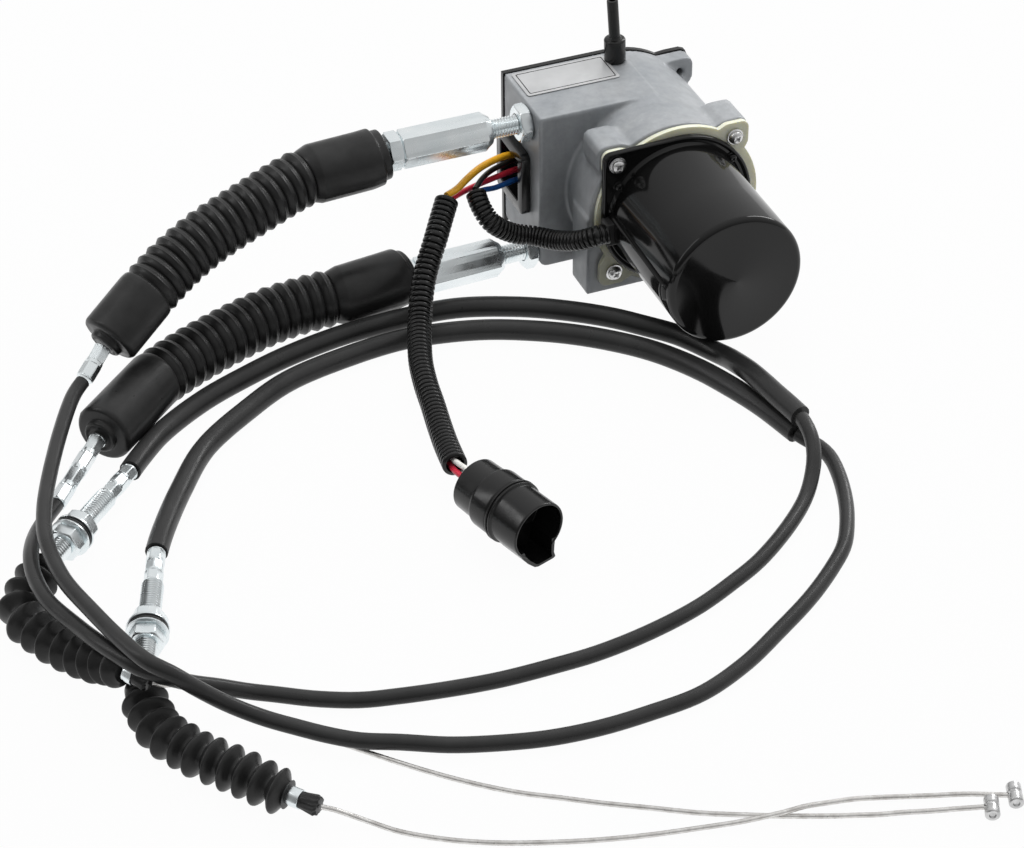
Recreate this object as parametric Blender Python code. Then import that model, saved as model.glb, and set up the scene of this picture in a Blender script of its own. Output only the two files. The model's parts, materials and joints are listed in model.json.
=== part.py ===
"""Throttle motor: gear housing, DC motor, two pull cables and a wiring harness. Z up, the foot rests on z = 0."""

import math

import bmesh
import bpy
from mathutils import Matrix, Vector

MM = 0.001
GAP = 0.3  # between pieces that touch
FIT = 0.05  # running fit, on the radius

# Gear room: the drum sets the size of the case
DRUM_R = 36.0
GROOVE_R = DRUM_R - 2.6
WIRE_D = 2.0
WIRE_RISE = GROOVE_R + 1.3  # of the drum wires above and below the axis
SHAFT_R = 3.0
PINION, WHEEL, SMALL, RING = 12, 44, 14, 42  # teeth, module 1
GEAR_OFFSET = (SMALL + RING) / 2

# Motor unit: the motor axis runs along Y at x = 0
CASE_R = DRUM_R + 7.5
AXIS_Z = CASE_R + 0.5
BOX_LEFT, BOX_RIGHT = -CASE_R - 14.5, 4.0
BOX_FRONT, BACK = 17.0, 63.5
BOX_LOW, BOX_HIGH = 2.0, 2 * AXIS_Z
WALL = 4.0
FLANGE_FRONT, FLANGE_BACK = -8.0, 8.0
WEB_BACK = 20.0
FOOT_HALF = CASE_R + 1.0
SCREW_SQUARE = CASE_R - 12.0
EAR = 8.0  # from a flange screw to the edge
EAR_ROUND = 4.0
LUG_X, LUG_RISE, LUG = CASE_R - 10.0, CASE_R - 14.5, 7.5
COVER_THICK = 2.6
SPACER_R, SPACER_THICK = CASE_R + 2.5, 5.5
CAN_R, CAN_WALL, CAN_END = CASE_R - 9.0, 1.5, -86.0
CAN_EDGE = 3.2
MAGNET_OUT = CAN_R - CAN_WALL - 0.4
MAGNET_IN = MAGNET_OUT - 6.0
PLATE_THICK = 1.9

# Cable outlets, at the height of the drum wires
UPPER_Y, UPPER_Z = 32.0, AXIS_Z + WIRE_RISE
LOWER_Y, LOWER_Z = 25.0, AXIS_Z - WIRE_RISE
HEX = 17.0
THREAD_R = 5.0
ROD_BORE = 2.2
NUT_THICK = 6.0
COUPLINGS = {"a": (20.4, 66.6, 6.4), "b": (18.8, 64.5, 3.6)}  # near end, far end, thin nut

# Cables
CONDUIT_D, SLEEVE_D = 7.0, 10.3
END_HEX, WASHER_R = 14.5, 9.4
TUBE1_D, TUBE2_D = 11.0, 8.2

for old in list(bpy.data.objects):
    bpy.data.objects.remove(old, do_unlink=True)

cutters = bpy.data.collections.new("cutters")
bpy.context.scene.collection.children.link(cutters)


def material(name, colour, rough, metal=0.0):
    made = bpy.data.materials.new(name)
    made.use_nodes = True
    shader = made.node_tree.nodes["Principled BSDF"]
    shader.inputs["Base Color"].default_value = (*colour, 1.0)
    shader.inputs["Roughness"].default_value = rough
    shader.inputs["Metallic"].default_value = metal
    made.diffuse_color = (*colour, 1.0)
    return made


CAST = material("cast_aluminium", (0.46, 0.48, 0.49), 0.55, 0.8)
ZINC = material("bright_zinc", (0.66, 0.70, 0.72), 0.3, 1.0)
STEEL = material("steel", (0.5, 0.5, 0.5), 0.35, 1.0)
WIRE_STEEL = material("wire_steel", (0.55, 0.55, 0.54), 0.35, 1.0)
GLOSS = material("gloss_black_paint", (0.01, 0.01, 0.01), 0.15)
PLASTIC = material("black_plastic", (0.015, 0.015, 0.016), 0.35)
RUBBER = material("black_rubber", (0.02, 0.02, 0.021), 0.55)
JACKET = material("cable_jacket", (0.03, 0.03, 0.031), 0.4)
CREAM = material("cream_nylon", (0.74, 0.72, 0.55), 0.45)
PLATE = material("bare_plate", (0.8, 0.81, 0.82), 0.35, 0.4)
MAGNET = material("magnet", (0.08, 0.08, 0.08), 0.6)
NYLON = material("gear_nylon", (0.8, 0.8, 0.76), 0.5)
YELLOW = material("yellow_wire", (0.85, 0.5, 0.03), 0.35)
RED = material("red_wire", (0.55, 0.02, 0.03), 0.35)
BLUE = material("blue_wire", (0.03, 0.15, 0.5), 0.35)
BLACK_WIRE = material("black_wire", (0.02, 0.02, 0.02), 0.35)
WHITE = material("white_wire", (0.8, 0.8, 0.8), 0.35)


def keep(name, work, look, cutter=False):
    """Closes a bmesh into an object in millimetres, with its faces turned outward."""
    bmesh.ops.recalc_face_normals(work, faces=work.faces)
    mesh = bpy.data.meshes.new(name)
    work.to_mesh(mesh)
    work.free()
    obj = bpy.data.objects.new(name, mesh)
    if cutter:
        cutters.objects.link(obj)
        obj.hide_render = True
        obj.display_type = "WIRE"
    else:
        bpy.context.scene.collection.objects.link(obj)
        mesh.materials.append(look)
    return obj


def frame_of(direction):
    """Two unit vectors square to the direction, the second one as near to +Z as it can be."""
    along = Vector(direction).normalized()
    side = along.cross(Vector((0, 0, 1)))
    if side.length < 1e-4:
        side = Vector((1, 0, 0))
    side.normalize()
    return side, side.cross(along).normalized(), along


def hex_reach(across, angle):
    """From the middle of a hexagon to its edge, with two flats level."""
    turn = math.degrees(angle) % 60 - 30
    return across / 2 / math.cos(math.radians(turn))


def hex_part(start, thick, chamfer=1.0, across=HEX):
    """The sections of a nut: its corners are cut back at both ends."""
    face_r = across * 0.51
    return [(face_r, start, across), (across, start + chamfer, across), (across, start + thick - chamfer, across),
            (face_r, start + thick, across)]


def turned(name, profile, origin, direction, look=None, sides=32, cutter=False, roll=0.0):
    """A body of revolution: (radius, distance) points from the axis round to the axis, or a closed ring.

    A third number makes the section a hexagon of that width across flats, no farther out than the radius.
    """
    side, up, along = frame_of(direction)
    work = bmesh.new()
    rings = []
    for radius, distance, *across in profile:
        centre = Vector(origin) + along * distance
        if radius < 1e-6:
            rings.append([None])  # a flat end: the ring beside it is closed by one face
            continue
        ring = []
        for k in range(sides):
            angle = 2 * math.pi * k / sides + roll
            out = side * math.cos(angle) + up * math.sin(angle)
            reach = min(radius, hex_reach(across[0], angle)) if across else radius
            ring.append(work.verts.new(centre + out * reach))
        rings.append(ring)
    pairs = list(zip(rings, rings[1:]))
    if len(rings[0]) > 1 and len(rings[-1]) > 1:
        pairs.append((rings[-1], rings[0]))
    for one, two in pairs:
        if len(one) == 1 or len(two) == 1:
            work.faces.new(one if len(two) == 1 else two)
        for k in range(sides):
            after = (k + 1) % sides
            if len(one) > 1 and len(two) > 1:
                work.faces.new((one[k], two[k], two[after], one[after]))
    return keep(name, work, look, cutter)


def rod(name, radius, start, end, look=None, sides=32, cutter=False, chamfer=0.0):
    length = (Vector(end) - Vector(start)).length
    direction = Vector(end) - Vector(start)
    if chamfer:
        profile = [(0, 0), (radius - chamfer, 0), (radius, chamfer), (radius, length - chamfer)]
        profile += [(radius - chamfer, length), (0, length)]
    else:
        profile = [(0, 0), (radius, 0), (radius, length), (0, length)]
    return turned(name, profile, start, direction, look, sides, cutter, roll=0.037 if cutter else 0.0)


def prism(name, outline, origin, across, rise, depth, look=None, cutter=False, hole=None):
    """An outline in the plane of across and rise, pushed along their cross product by depth."""
    across, rise = Vector(across), Vector(rise)
    along = across.cross(rise).normalized() * depth
    work = bmesh.new()
    ends = []
    for shift in (Vector((0, 0, 0)), along):
        loops = []
        for points in [outline] + ([hole] if hole else []):
            loop = []
            for a, b in points:
                loop.append(work.verts.new(Vector(origin) + across * a + rise * b + shift))
            loops.append(loop)
        ends.append(loops)
    for first, second in zip(ends[0], ends[1]):
        count = len(first)
        for k in range(count):
            after = (k + 1) % count
            work.faces.new((first[k], first[after], second[after], second[k]))
    for loops in ends:
        if len(loops) == 1:
            work.faces.new(loops[0])
            continue
        outer, inner = loops
        count = len(outer)
        for k in range(count):
            after = (k + 1) % count
            work.faces.new((outer[k], outer[after], inner[after], inner[k]))
    return keep(name, work, look, cutter)


def block(name, low, high, look=None, cutter=False):
    x0, y0, z0 = low
    x1, y1, z1 = high
    outline = [(x0, y0), (x1, y0), (x1, y1), (x0, y1)]
    return prism(name, outline, (0, 0, z0), (1, 0, 0), (0, 1, 0), z1 - z0, look, cutter)


def arc(x, z, radius, start, end, steps):
    """Points on an arc, angles in degrees."""
    points = []
    for k in range(steps + 1):
        angle = math.radians(start + (end - start) * k / steps)
        points.append((x + radius * math.cos(angle), z + radius * math.sin(angle)))
    return points


def squared(x, z, reach, corner=EAR_ROUND):
    """The points of a square lug with round corners, about a screw."""
    points = []
    for dx in (-1, 1):
        for dz in (-1, 1):
            points += arc(x + dx * (reach - corner), z + dz * (reach - corner), corner, 0, 315, 7)
    return points


def facing(name, outline, front, back, look=None, cutter=False):
    """An outline in X and Z, as the viewer of the front sees it, from the front y to the back y."""
    return prism(name, outline, (0, back, 0), (1, 0, 0), (0, 0, 1), back - front, look, cutter)


def change(obj, other, operation):
    step = obj.modifiers.new(other.name, "BOOLEAN")
    step.object = other
    step.operation = operation
    step.solver = "EXACT"


def cut(obj, *others):
    for other in others:
        change(obj, other, "DIFFERENCE")


def join(obj, *others):
    for other in others:
        change(obj, other, "UNION")


def hull(points):
    """The convex outline round the points, counterclockwise."""
    points = sorted(set(points))
    chains = []
    for run in (points, points[::-1]):
        chain = []
        for p in run:
            while len(chain) > 1:
                (ax, az), (bx, bz) = chain[-2], chain[-1]
                if (bx - ax) * (p[1] - az) - (bz - az) * (p[0] - ax) > 1e-9:
                    break
                chain.pop()
            chain.append(p)
        chains.append(chain[:-1])
    return chains[0] + chains[1]


def smooth(route, step=1.0, shares=None):
    """Points on a smooth curve through the route, at even spacing or at these shares of its length."""
    spots = [Vector(p[:3]) for p in route]
    if len(spots) == 2:
        spots.insert(1, (spots[0] + spots[1]) / 2)
    padded = [spots[0] * 2 - spots[1]] + spots + [spots[-1] * 2 - spots[-2]]
    fine = []
    for a, b, c, d in zip(padded, padded[1:], padded[2:], padded[3:]):
        t1 = max((b - a).length, 1e-6) ** 0.5
        t2 = t1 + max((c - b).length, 1e-6) ** 0.5
        t3 = t2 + max((d - c).length, 1e-6) ** 0.5
        for k in range(12):
            t = t1 + (t2 - t1) * k / 12
            a1 = a * ((t1 - t) / t1) + b * (t / t1)
            a2 = b * ((t2 - t) / (t2 - t1)) + c * ((t - t1) / (t2 - t1))
            a3 = c * ((t3 - t) / (t3 - t2)) + d * ((t - t2) / (t3 - t2))
            b1 = a1 * ((t2 - t) / t2) + a2 * (t / t2)
            b2 = a2 * ((t3 - t) / (t3 - t1)) + a3 * ((t - t1) / (t3 - t1))
            fine.append(b1 * ((t2 - t) / (t2 - t1)) + b2 * ((t - t1) / (t2 - t1)))
    fine.append(spots[-1])
    lengths = [0.0]
    for one, two in zip(fine, fine[1:]):
        lengths.append(lengths[-1] + (two - one).length)
    if shares is None:
        count = max(2, round(lengths[-1] / step) + 1)
        shares = [n / (count - 1) for n in range(count)]
    found, k = [], 0
    for share in shares:
        wanted = lengths[-1] * share
        while k < len(fine) - 2 and lengths[k + 1] < wanted:
            k += 1
        part = (wanted - lengths[k]) / max(lengths[k + 1] - lengths[k], 1e-9)
        found.append(fine[k].lerp(fine[k + 1], min(max(part, 0.0), 1.0)))
    return found


def cord(name, route, diameter, look, step, resolution=2):
    """A round cord of even thickness along the route."""
    return bevelled(name, [(spot, diameter / 2) for spot in smooth(route, step)], look, resolution)


def swelling(name, route, stations, look, resolution=3):
    """A round body along the route: (share of the length, radius) stations."""
    spots = smooth(route, shares=[share for share, radius in stations])
    return bevelled(name, list(zip(spots, [radius for share, radius in stations])), look, resolution)


def bevelled(name, sections, look, resolution):
    data = bpy.data.curves.new(name, "CURVE")
    data.dimensions = "3D"
    data.bevel_depth = MM
    data.bevel_resolution = resolution
    data.use_fill_caps = True
    line = data.splines.new("POLY")
    line.points.add(len(sections) - 1)
    for point, (spot, radius) in zip(line.points, sections):
        point.co = (*(spot * MM), 1.0)
        point.radius = radius
    obj = bpy.data.objects.new(name, data)
    bpy.context.scene.collection.objects.link(obj)
    data.materials.append(look)
    return obj


def gear(teeth, shift=0.0):
    """Tooth outline, module 1, with play between the flanks."""
    pitch = 360.0 / teeth
    tip, root = teeth / 2 + 0.8, teeth / 2 - 1.25
    points = []
    for k in range(teeth):
        centre = math.radians(k * pitch + shift)
        for radius, share in ((root, -0.30), (tip, -0.11), (tip, 0.11), (root, 0.30)):
            angle = centre + math.radians(pitch * share)
            points.append((radius * math.cos(angle), radius * math.sin(angle)))
    return points


# Gear housing
def housing_outline():
    return [(BOX_LEFT, BOX_LOW + 4), (BOX_LEFT + 1.2, BOX_LOW + 1.2), (BOX_LEFT + 4, BOX_LOW),
            (BOX_RIGHT, BOX_LOW), (BOX_RIGHT, BOX_HIGH), (BOX_LEFT, BOX_HIGH)]


housing = facing("gear_housing", housing_outline(), BOX_FRONT, BACK, CAST)
case = turned("case_round", [(0, 0), (CASE_R, 0), (CASE_R, BACK - FLANGE_FRONT), (0, BACK - FLANGE_FRONT)],
              (0, FLANGE_FRONT, AXIS_Z), (0, 1, 0), sides=72, cutter=True)
join(housing, case)
foot = facing("foot_block", [(-FOOT_HALF, 0), (FOOT_HALF, 0), (FOOT_HALF, AXIS_Z), (-FOOT_HALF, AXIS_Z)],
              FLANGE_FRONT, FLANGE_BACK, cutter=True)
join(housing, foot)
for side in (-1, 1):
    ear = hull(squared(side * SCREW_SQUARE, AXIS_Z + SCREW_SQUARE, EAR)
               + [(side * 20, AXIS_Z + 36), (side * 36, AXIS_Z + 20), (side * 20, AXIS_Z + 20)])
    join(housing, facing(f"ear_{side}", ear, FLANGE_FRONT, FLANGE_BACK, cutter=True))
for turn in (-1, 1):
    lug = hull(squared(LUG_X, AXIS_Z + turn * LUG_RISE, LUG)
               + [(20, AXIS_Z + turn * 36), (36, AXIS_Z + turn * 20), (20, AXIS_Z + turn * 20)])
    join(housing, facing(f"lug_{turn}", lug, BACK - 8.5, BACK, cutter=True))

# Its hollow: the gear room, the drum bearing and the motor recess
cut(housing, block("room_box", (BOX_LEFT + WALL, WEB_BACK + 1, BOX_LOW + WALL),
                   (0, BACK + 2, BOX_HIGH - WALL), cutter=True))
cut(housing, rod("room_round", CASE_R - WALL, (0, WEB_BACK, AXIS_Z), (0, BACK + 2, AXIS_Z), sides=64, cutter=True))
cut(housing, rod("recess", CAN_R + 1.5, (0, FLANGE_FRONT - 2, AXIS_Z), (0, FLANGE_BACK - 0.7, AXIS_Z), sides=48, cutter=True))
cut(housing, rod("web_bore", 12.0, (0, 0, AXIS_Z), (0, WEB_BACK + 5, AXIS_Z), sides=28, cutter=True))
cut(housing, block("port_pocket", (BOX_LEFT - 8, 33.5, 31.0), (BOX_LEFT + WALL + 2, 58.5, 56.5), cutter=True))
for low_z, high_z in ((BOX_HIGH - 10, BOX_HIGH - 2), (BOX_LOW + 2, BOX_LOW + 11)):
    join(housing, block(f"corner_{low_z}", (BOX_LEFT + 2, 52, low_z), (BOX_LEFT + 11, BACK, high_z), cutter=True))
COVER_SCREWS = ((BOX_LEFT + 6, BOX_HIGH - 5.5), (BOX_LEFT + 6, BOX_LOW + 5.5),
                (LUG_X, AXIS_Z + LUG_RISE), (LUG_X, AXIS_Z - LUG_RISE))
for x, z in COVER_SCREWS:
    start = 54.0 if x < 0 else 50.0
    cut(housing, rod(f"cover_hole_{x}_{z}", 2.0, (x, start, z), (x, BACK + 2, z), sides=20, cutter=True))
for x in (-SCREW_SQUARE, SCREW_SQUARE):
    for z in (AXIS_Z - SCREW_SQUARE, AXIS_Z + SCREW_SQUARE):
        cut(housing, rod(f"flange_hole_{x}_{z}", 2.8, (x, FLANGE_FRONT - 2, z), (x, 6, z), sides=20, cutter=True))
for name, y, z in (("upper", UPPER_Y, UPPER_Z), ("lower", LOWER_Y, LOWER_Z)):
    cut(housing, rod(f"outlet_{name}", THREAD_R + GAP, (BOX_LEFT - 5, y, z), (BOX_LEFT + WALL + 0.5, y, z),
                     sides=32, cutter=True))
    if name == "lower":
        cut(housing, block("outlet_relief", (BOX_LEFT + 3.5, LOWER_Y - 3, LOWER_Z - 4.0), (-20, LOWER_Y + 3, 12), cutter=True))
cut(housing, rod("vent_hole", 1.5, (-2, 55, BOX_HIGH - 8), (-2, 55, BOX_HIGH + 4), sides=16, cutter=True))

# Rear cover with its bosses
cover = facing("rear_cover", [(BOX_LEFT - 0.4, BOX_LOW - 0.4), (BOX_RIGHT + 0.4, BOX_LOW - 0.4),
                              (BOX_RIGHT + 0.4, BOX_HIGH + 0.4), (BOX_LEFT - 0.4, BOX_HIGH + 0.4)],
               BACK + GAP, BACK + GAP + COVER_THICK, PLASTIC)
cover_front = BACK + GAP
join(cover, rod("cover_round", CASE_R + 0.4, (0, cover_front, AXIS_Z), (0, cover_front + COVER_THICK, AXIS_Z), sides=72, cutter=True))
for turn in (-1, 1):
    lug = hull(squared(LUG_X, AXIS_Z + turn * LUG_RISE, LUG + 0.4)
               + [(20, AXIS_Z + turn * 36), (36, AXIS_Z + turn * 20), (20, AXIS_Z + turn * 20)])
    join(cover, facing(f"cover_lug_{turn}", lug, cover_front, cover_front + COVER_THICK, cutter=True))
for name, x in (("shaft", 0.0), ("pin", -GEAR_OFFSET)):
    join(cover, rod(f"boss_{name}", 7.0, (x, 57, AXIS_Z), (x, cover_front + 1, AXIS_Z), sides=24, cutter=True))
    radius = SHAFT_R + (FIT if name == "shaft" else GAP)
    cut(cover, rod(f"boss_bore_{name}", radius, (x, 50, AXIS_Z), (x, 64.5, AXIS_Z), sides=32, cutter=True))
for x, z in COVER_SCREWS:
    cut(cover, rod(f"cover_pass_{x}_{z}", 2.0, (x, 60, z), (x, 70, z), sides=20, cutter=True))
cover_back = cover_front + COVER_THICK
for k, (x, z) in enumerate(COVER_SCREWS):
    tip = 56.0 if x < 0 else 54.5
    profile = [(0, 0), (3.4, 0), (3.8, -0.8), (3.8, -2.2), (1.7, -2.2), (1.7, -(cover_back + 2.5 - tip)),
               (0, -(cover_back + 2.5 - tip))]
    turned(f"cover_screw_{k + 1}", profile, (x, cover_back + 2.5, z), (0, 1, 0), STEEL, sides=14)

# Things on the top and the left side
block("label_plate", (BOX_LEFT + 1.5, 38.8, BOX_HIGH + GAP), (-7.6, 61.5, BOX_HIGH + GAP + 0.3), PLATE)
vent = turned("vent_cap", [(0, 0), (5.3, 0), (5.4, 1), (5.4, 11.6), (4.6, 12.5), (0, 12.5)], (-2, 55, BOX_HIGH + GAP),
              (-0.03, 0, 1), PLASTIC, sides=28)
join(vent, turned("vent_tube", [(0, 0), (2.8, 0), (2.8, 23.5), (1.5, 23.5), (1.5, 7), (0, 7)], (-2.3, 55, BOX_HIGH + 11),
                  (-0.08, -0.02, 1), sides=20, cutter=True))
seal = block("port_seal", (BOX_LEFT - 4.7, 29, 26), (BOX_LEFT - GAP, 63, 61), PLASTIC)
join(seal, block("seal_body", (BOX_LEFT - 1.6, 33.8, 31.3), (BOX_LEFT + 4.3, 58.2, 56.2), cutter=True))
cut(seal, block("seal_mouth", (BOX_LEFT - 6, 35.0, 32.5), (BOX_LEFT + 2.2, 57.0, 55.0), cutter=True))

# Motor: spacer, flange and can
spacer_back = FLANGE_FRONT - GAP
spacer_front = spacer_back - SPACER_THICK
spacer_outline = [(x, max(z, GAP)) for x, z in arc(0, AXIS_Z, SPACER_R, 0, 355, 71)]  # flat along the floor
spacer = facing("spacer_flange", spacer_outline, spacer_front, spacer_back, CREAM)
for x in (-SCREW_SQUARE, SCREW_SQUARE):
    for z in (-SCREW_SQUARE, SCREW_SQUARE):
        ear = hull(squared(x, AXIS_Z + z, EAR - 0.3) + [(x * 0.6, AXIS_Z + z * 1.1), (x * 1.1, AXIS_Z + z * 0.6)])
        join(spacer, facing(f"spacer_ear_{x}_{z}", ear, spacer_front, spacer_back, cutter=True))
        cut(spacer, rod(f"spacer_hole_{x}_{z}", 2.8, (x, spacer_front - 2, AXIS_Z + z), (x, spacer_back + 2, AXIS_Z + z),
                        sides=20, cutter=True))
cut(spacer, rod("spacer_bore", 20.0, (0, spacer_front - 2, AXIS_Z), (0, spacer_back + 2, AXIS_Z), sides=32, cutter=True))

plate_back = spacer_front - GAP
plate_front = plate_back - PLATE_THICK
plate_outline = hull(arc(0, AXIS_Z, CAN_R + 4.5, 0, 354, 59) + squared(-SCREW_SQUARE, AXIS_Z + SCREW_SQUARE, EAR - 0.8)
                     + squared(SCREW_SQUARE, AXIS_Z - SCREW_SQUARE, EAR - 0.8))
can = facing("motor_can", plate_outline, plate_front, plate_back, GLOSS)
rim = []
for k in range(5):
    angle = math.radians(90 * k / 4)
    rim.append((CAN_R - CAN_EDGE + CAN_EDGE * math.sin(angle), CAN_EDGE - CAN_EDGE * math.cos(angle)))
shell = [(0, 0)] + rim + [(CAN_R, plate_front - CAN_END + 0.5), (0, plate_front - CAN_END + 0.5)]
join(can, turned("can_shell", shell, (0, CAN_END, AXIS_Z), (0, 1, 0), sides=48, cutter=True))
ridge_points = arc(0, AXIS_Z, CAN_R + 1.8, 167, 185, 6) + arc(0, AXIS_Z, CAN_R - 1, 189, 163, 6)
join(can, facing("lead_ridge", ridge_points, CAN_END + 5, -24.5, cutter=True))
cut(can, turned("can_room", [(0, 0), (CAN_R - CAN_WALL - 3, 0), (CAN_R - CAN_WALL, 3), (CAN_R - CAN_WALL, 80), (0, 80)],
                (0, CAN_END + CAN_WALL, AXIS_Z), (0, 1, 0), sides=48, cutter=True, roll=0.02))
join(can, rod("can_boss", 7.0, (0, CAN_END + 0.5, AXIS_Z), (0, CAN_END + 8, AXIS_Z), sides=20, cutter=True))
cut(can, rod("can_bearing", SHAFT_R + FIT, (0, CAN_END + 2, AXIS_Z), (0, CAN_END + 12, AXIS_Z), sides=32, cutter=True))
for x, z in ((-SCREW_SQUARE, SCREW_SQUARE), (SCREW_SQUARE, -SCREW_SQUARE)):
    cut(can, rod(f"plate_hole_{x}", 2.8, (x, plate_front - 2, AXIS_Z + z), (x, plate_back + 2, AXIS_Z + z), sides=20, cutter=True))

# Four flange screws: two sit on the spacer, two on the motor flange
for k, (x, z) in enumerate(((-1, 1), (1, 1), (-1, -1), (1, -1))):
    seat = plate_front if x * z < 0 else spacer_front
    top = seat - GAP
    profile = [(0, 4.2), (2.2, 4.2), (3.1, 3.4), (3.5, 2.0), (3.5, 0.9), (4.3, 0.9), (4.3, 0), (2.5, 0),
               (2.5, top - 4), (0, top - 4)]
    turned(f"flange_screw_{k + 1}", profile, (x * SCREW_SQUARE, top, AXIS_Z + z * SCREW_SQUARE), (0, -1, 0), STEEL, sides=18)

grommet = block("lead_grommet", (-CAN_R - 7, -24.0, AXIS_Z - 11.5), (-CAN_R + 1.5, plate_front - GAP, AXIS_Z + 2.5), RUBBER)
cut(grommet, rod("grommet_round", CAN_R + GAP, (0, -30, AXIS_Z), (0, 0, AXIS_Z), sides=64, cutter=True))

# Inside the motor
turned("motor_end_plate", [(SHAFT_R + FIT, 0), (MAGNET_OUT, 0), (MAGNET_OUT, 3.5), (7, 3.5), (7, 6), (SHAFT_R + FIT, 6)],
       (0, plate_back, AXIS_Z), (0, -1, 0), STEEL, sides=28)
for k, turn in enumerate((0, 180)):
    outline = arc(0, AXIS_Z, MAGNET_OUT, 25 + turn, 155 + turn, 16)
    outline += arc(0, AXIS_Z, MAGNET_IN, 155 + turn, 25 + turn, 16)
    facing(f"magnet_{k + 1}", outline, -74.0, -30.0, MAGNET)
CORE_R = MAGNET_IN - 0.8
rotor = turned("rotor", [(0, 0), (SHAFT_R, 0), (SHAFT_R, 9), (CORE_R, 9), (CORE_R, 50), (9, 50), (9, 56), (SHAFT_R, 56),
                         (SHAFT_R, 145.5), (0, 145.5)], (0, CAN_END + 3, AXIS_Z), (0, 1, 0), STEEL, sides=18)
pinion = prism("pinion", gear(PINION), (0, 54, AXIS_Z), (1, 0, 0), (0, 0, 1), 6, cutter=True)
join(rotor, pinion)

# Gear room: drum with its ring gear, and the cluster gear on a pin
drum_profile = [(4.0, 0), (11.92, 0), (11.92, 12.2), (DRUM_R, 12.2), (DRUM_R, 14.2), (GROOVE_R, 14.7), (GROOVE_R, 18.3),
                (DRUM_R, 18.8), (DRUM_R, 21.2), (GROOVE_R, 21.7), (GROOVE_R, 25.3), (DRUM_R, 25.8), (DRUM_R, 27.5), (12, 27.5),
                (12, 37.0), (4.0, 37.0)]
drum = turned("drum", drum_profile, (0, 8.5, AXIS_Z), (0, 1, 0), NYLON, sides=32)
ring = prism("ring_gear", gear(RING), (0, 46, AXIS_Z), (1, 0, 0), (0, 0, 1), 6, cutter=True)
cut(ring, rod("ring_bore", 11.0, (0, 38, AXIS_Z), (0, 48, AXIS_Z), sides=24, cutter=True))
join(drum, ring)
cluster = prism("cluster_gear", gear(WHEEL, 180.0 / WHEEL), (-GEAR_OFFSET, 54, AXIS_Z), (1, 0, 0), (0, 0, 1), 6, NYLON)
join(cluster, prism("cluster_small", gear(SMALL, 180.0 / SMALL), (-GEAR_OFFSET, 48.5, AXIS_Z), (1, 0, 0), (0, 0, 1), 9, cutter=True))
cut(cluster, rod("cluster_bore", SHAFT_R + FIT, (-GEAR_OFFSET, 35, AXIS_Z), (-GEAR_OFFSET, 60, AXIS_Z), sides=32, cutter=True))
rod("gear_pin", SHAFT_R, (-GEAR_OFFSET, 38.5, AXIS_Z), (-GEAR_OFFSET, 64.2, AXIS_Z), STEEL, sides=20)

# Cable outlets on the left side
UPPER = ((BOX_LEFT, UPPER_Y, UPPER_Z), (-1, 0, 0))
LOWER_TURN = Vector((-64.2, -4.0, 1.5)).normalized()
LOWER = ((BOX_LEFT, LOWER_Y, LOWER_Z), tuple(LOWER_TURN))
for tag, (start, direction) in (("a", UPPER), ("b", LOWER)):
    start, direction = Vector(start), Vector(direction)

    def spot(distance):
        return start + direction * distance

    near, far, thin = COUPLINGS[tag]
    reach = far + thin + 0.4
    turned(f"adjuster_rod_{tag}", [(ROD_BORE, 0), (THREAD_R - 0.6, 0), (THREAD_R, 0.6), (THREAD_R, reach + 2.9),
                                   (THREAD_R - 0.6, reach + 3.5), (ROD_BORE, reach + 3.5)], spot(-3.5), direction, ZINC, sides=16)
    bore = THREAD_R + GAP
    seat = GAP + (0.7 if tag == "b" else 0.0)  # the lower outlet is tilted
    turned(f"lock_nut_{tag}", [(bore, seat)] + hex_part(seat, NUT_THICK) + [(bore, seat + NUT_THICK)], spot(0), direction,
           ZINC, sides=12)
    # the thin nut at the far end of the coupling is part of it, behind a narrow groove
    turned(f"coupling_{tag}", [(bore, near)] + hex_part(near, far - near, 2.4) + [(7.6, far), (7.6, far + 0.5)]
           + hex_part(far + 0.5, thin, 0.8) + [(bore, far + 0.5 + thin)], spot(0), direction, ZINC, sides=12)
for tag, y, z in (("a", UPPER_Y, UPPER_Z), ("b", LOWER_Y, LOWER_Z)):
    rod(f"drum_wire_{tag}", WIRE_D / 2, (-6, y, z), (BOX_LEFT - 14, y, z), WIRE_STEEL, sides=8)

# Boots: cuff, ridges, cuff
BOOT_A = [(-132.7, 32.6, 77.9), (-150, 32, 76), (-169, 32, 75.5), (-178, 30, 75), (-200, 23, 71.5), (-228, 15, 65),
          (-246, 8, 59), (-261, 0, 53), (-273, -6, 47), (-288.5, -14.3, 38.2)]
BOOT_B = [(-127.9, 20, 14.6), (-142, 17, 14.6), (-157, 15, 14.6), (-169, 15, 14.6), (-199, 12, 14.6), (-231, 1, 14.6),
          (-256, -11, 14.6), (-274.5, -23, 14.6), (-291, -39.5, 14.6), (-303.5, -50.5, 14.6)]


def boot(name, route, cuff_1, cuff_2, ridges):
    """Two smooth cuffs, given as shares of the length, and ridges between them."""
    stations = [(0, 12.6), (0.022, 12.9), (0.026, 14.5), (cuff_1 / 2, 14.6), (cuff_1 - 0.035, 14.6)]
    for k in range(ridges):
        for part, radius in ((0.0, 12.2), (0.5, 13.9)):
            stations.append((cuff_1 + (1 - cuff_1 - cuff_2) * (k + part) / ridges, radius))
    stations += [(1 - cuff_2, 12.2), (1 - cuff_2 + 0.01, 13.8), (1 - cuff_2 / 2, 14.1), (0.985, 14.1), (1, 12.8)]
    return swelling(name, route, stations, RUBBER)


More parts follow.
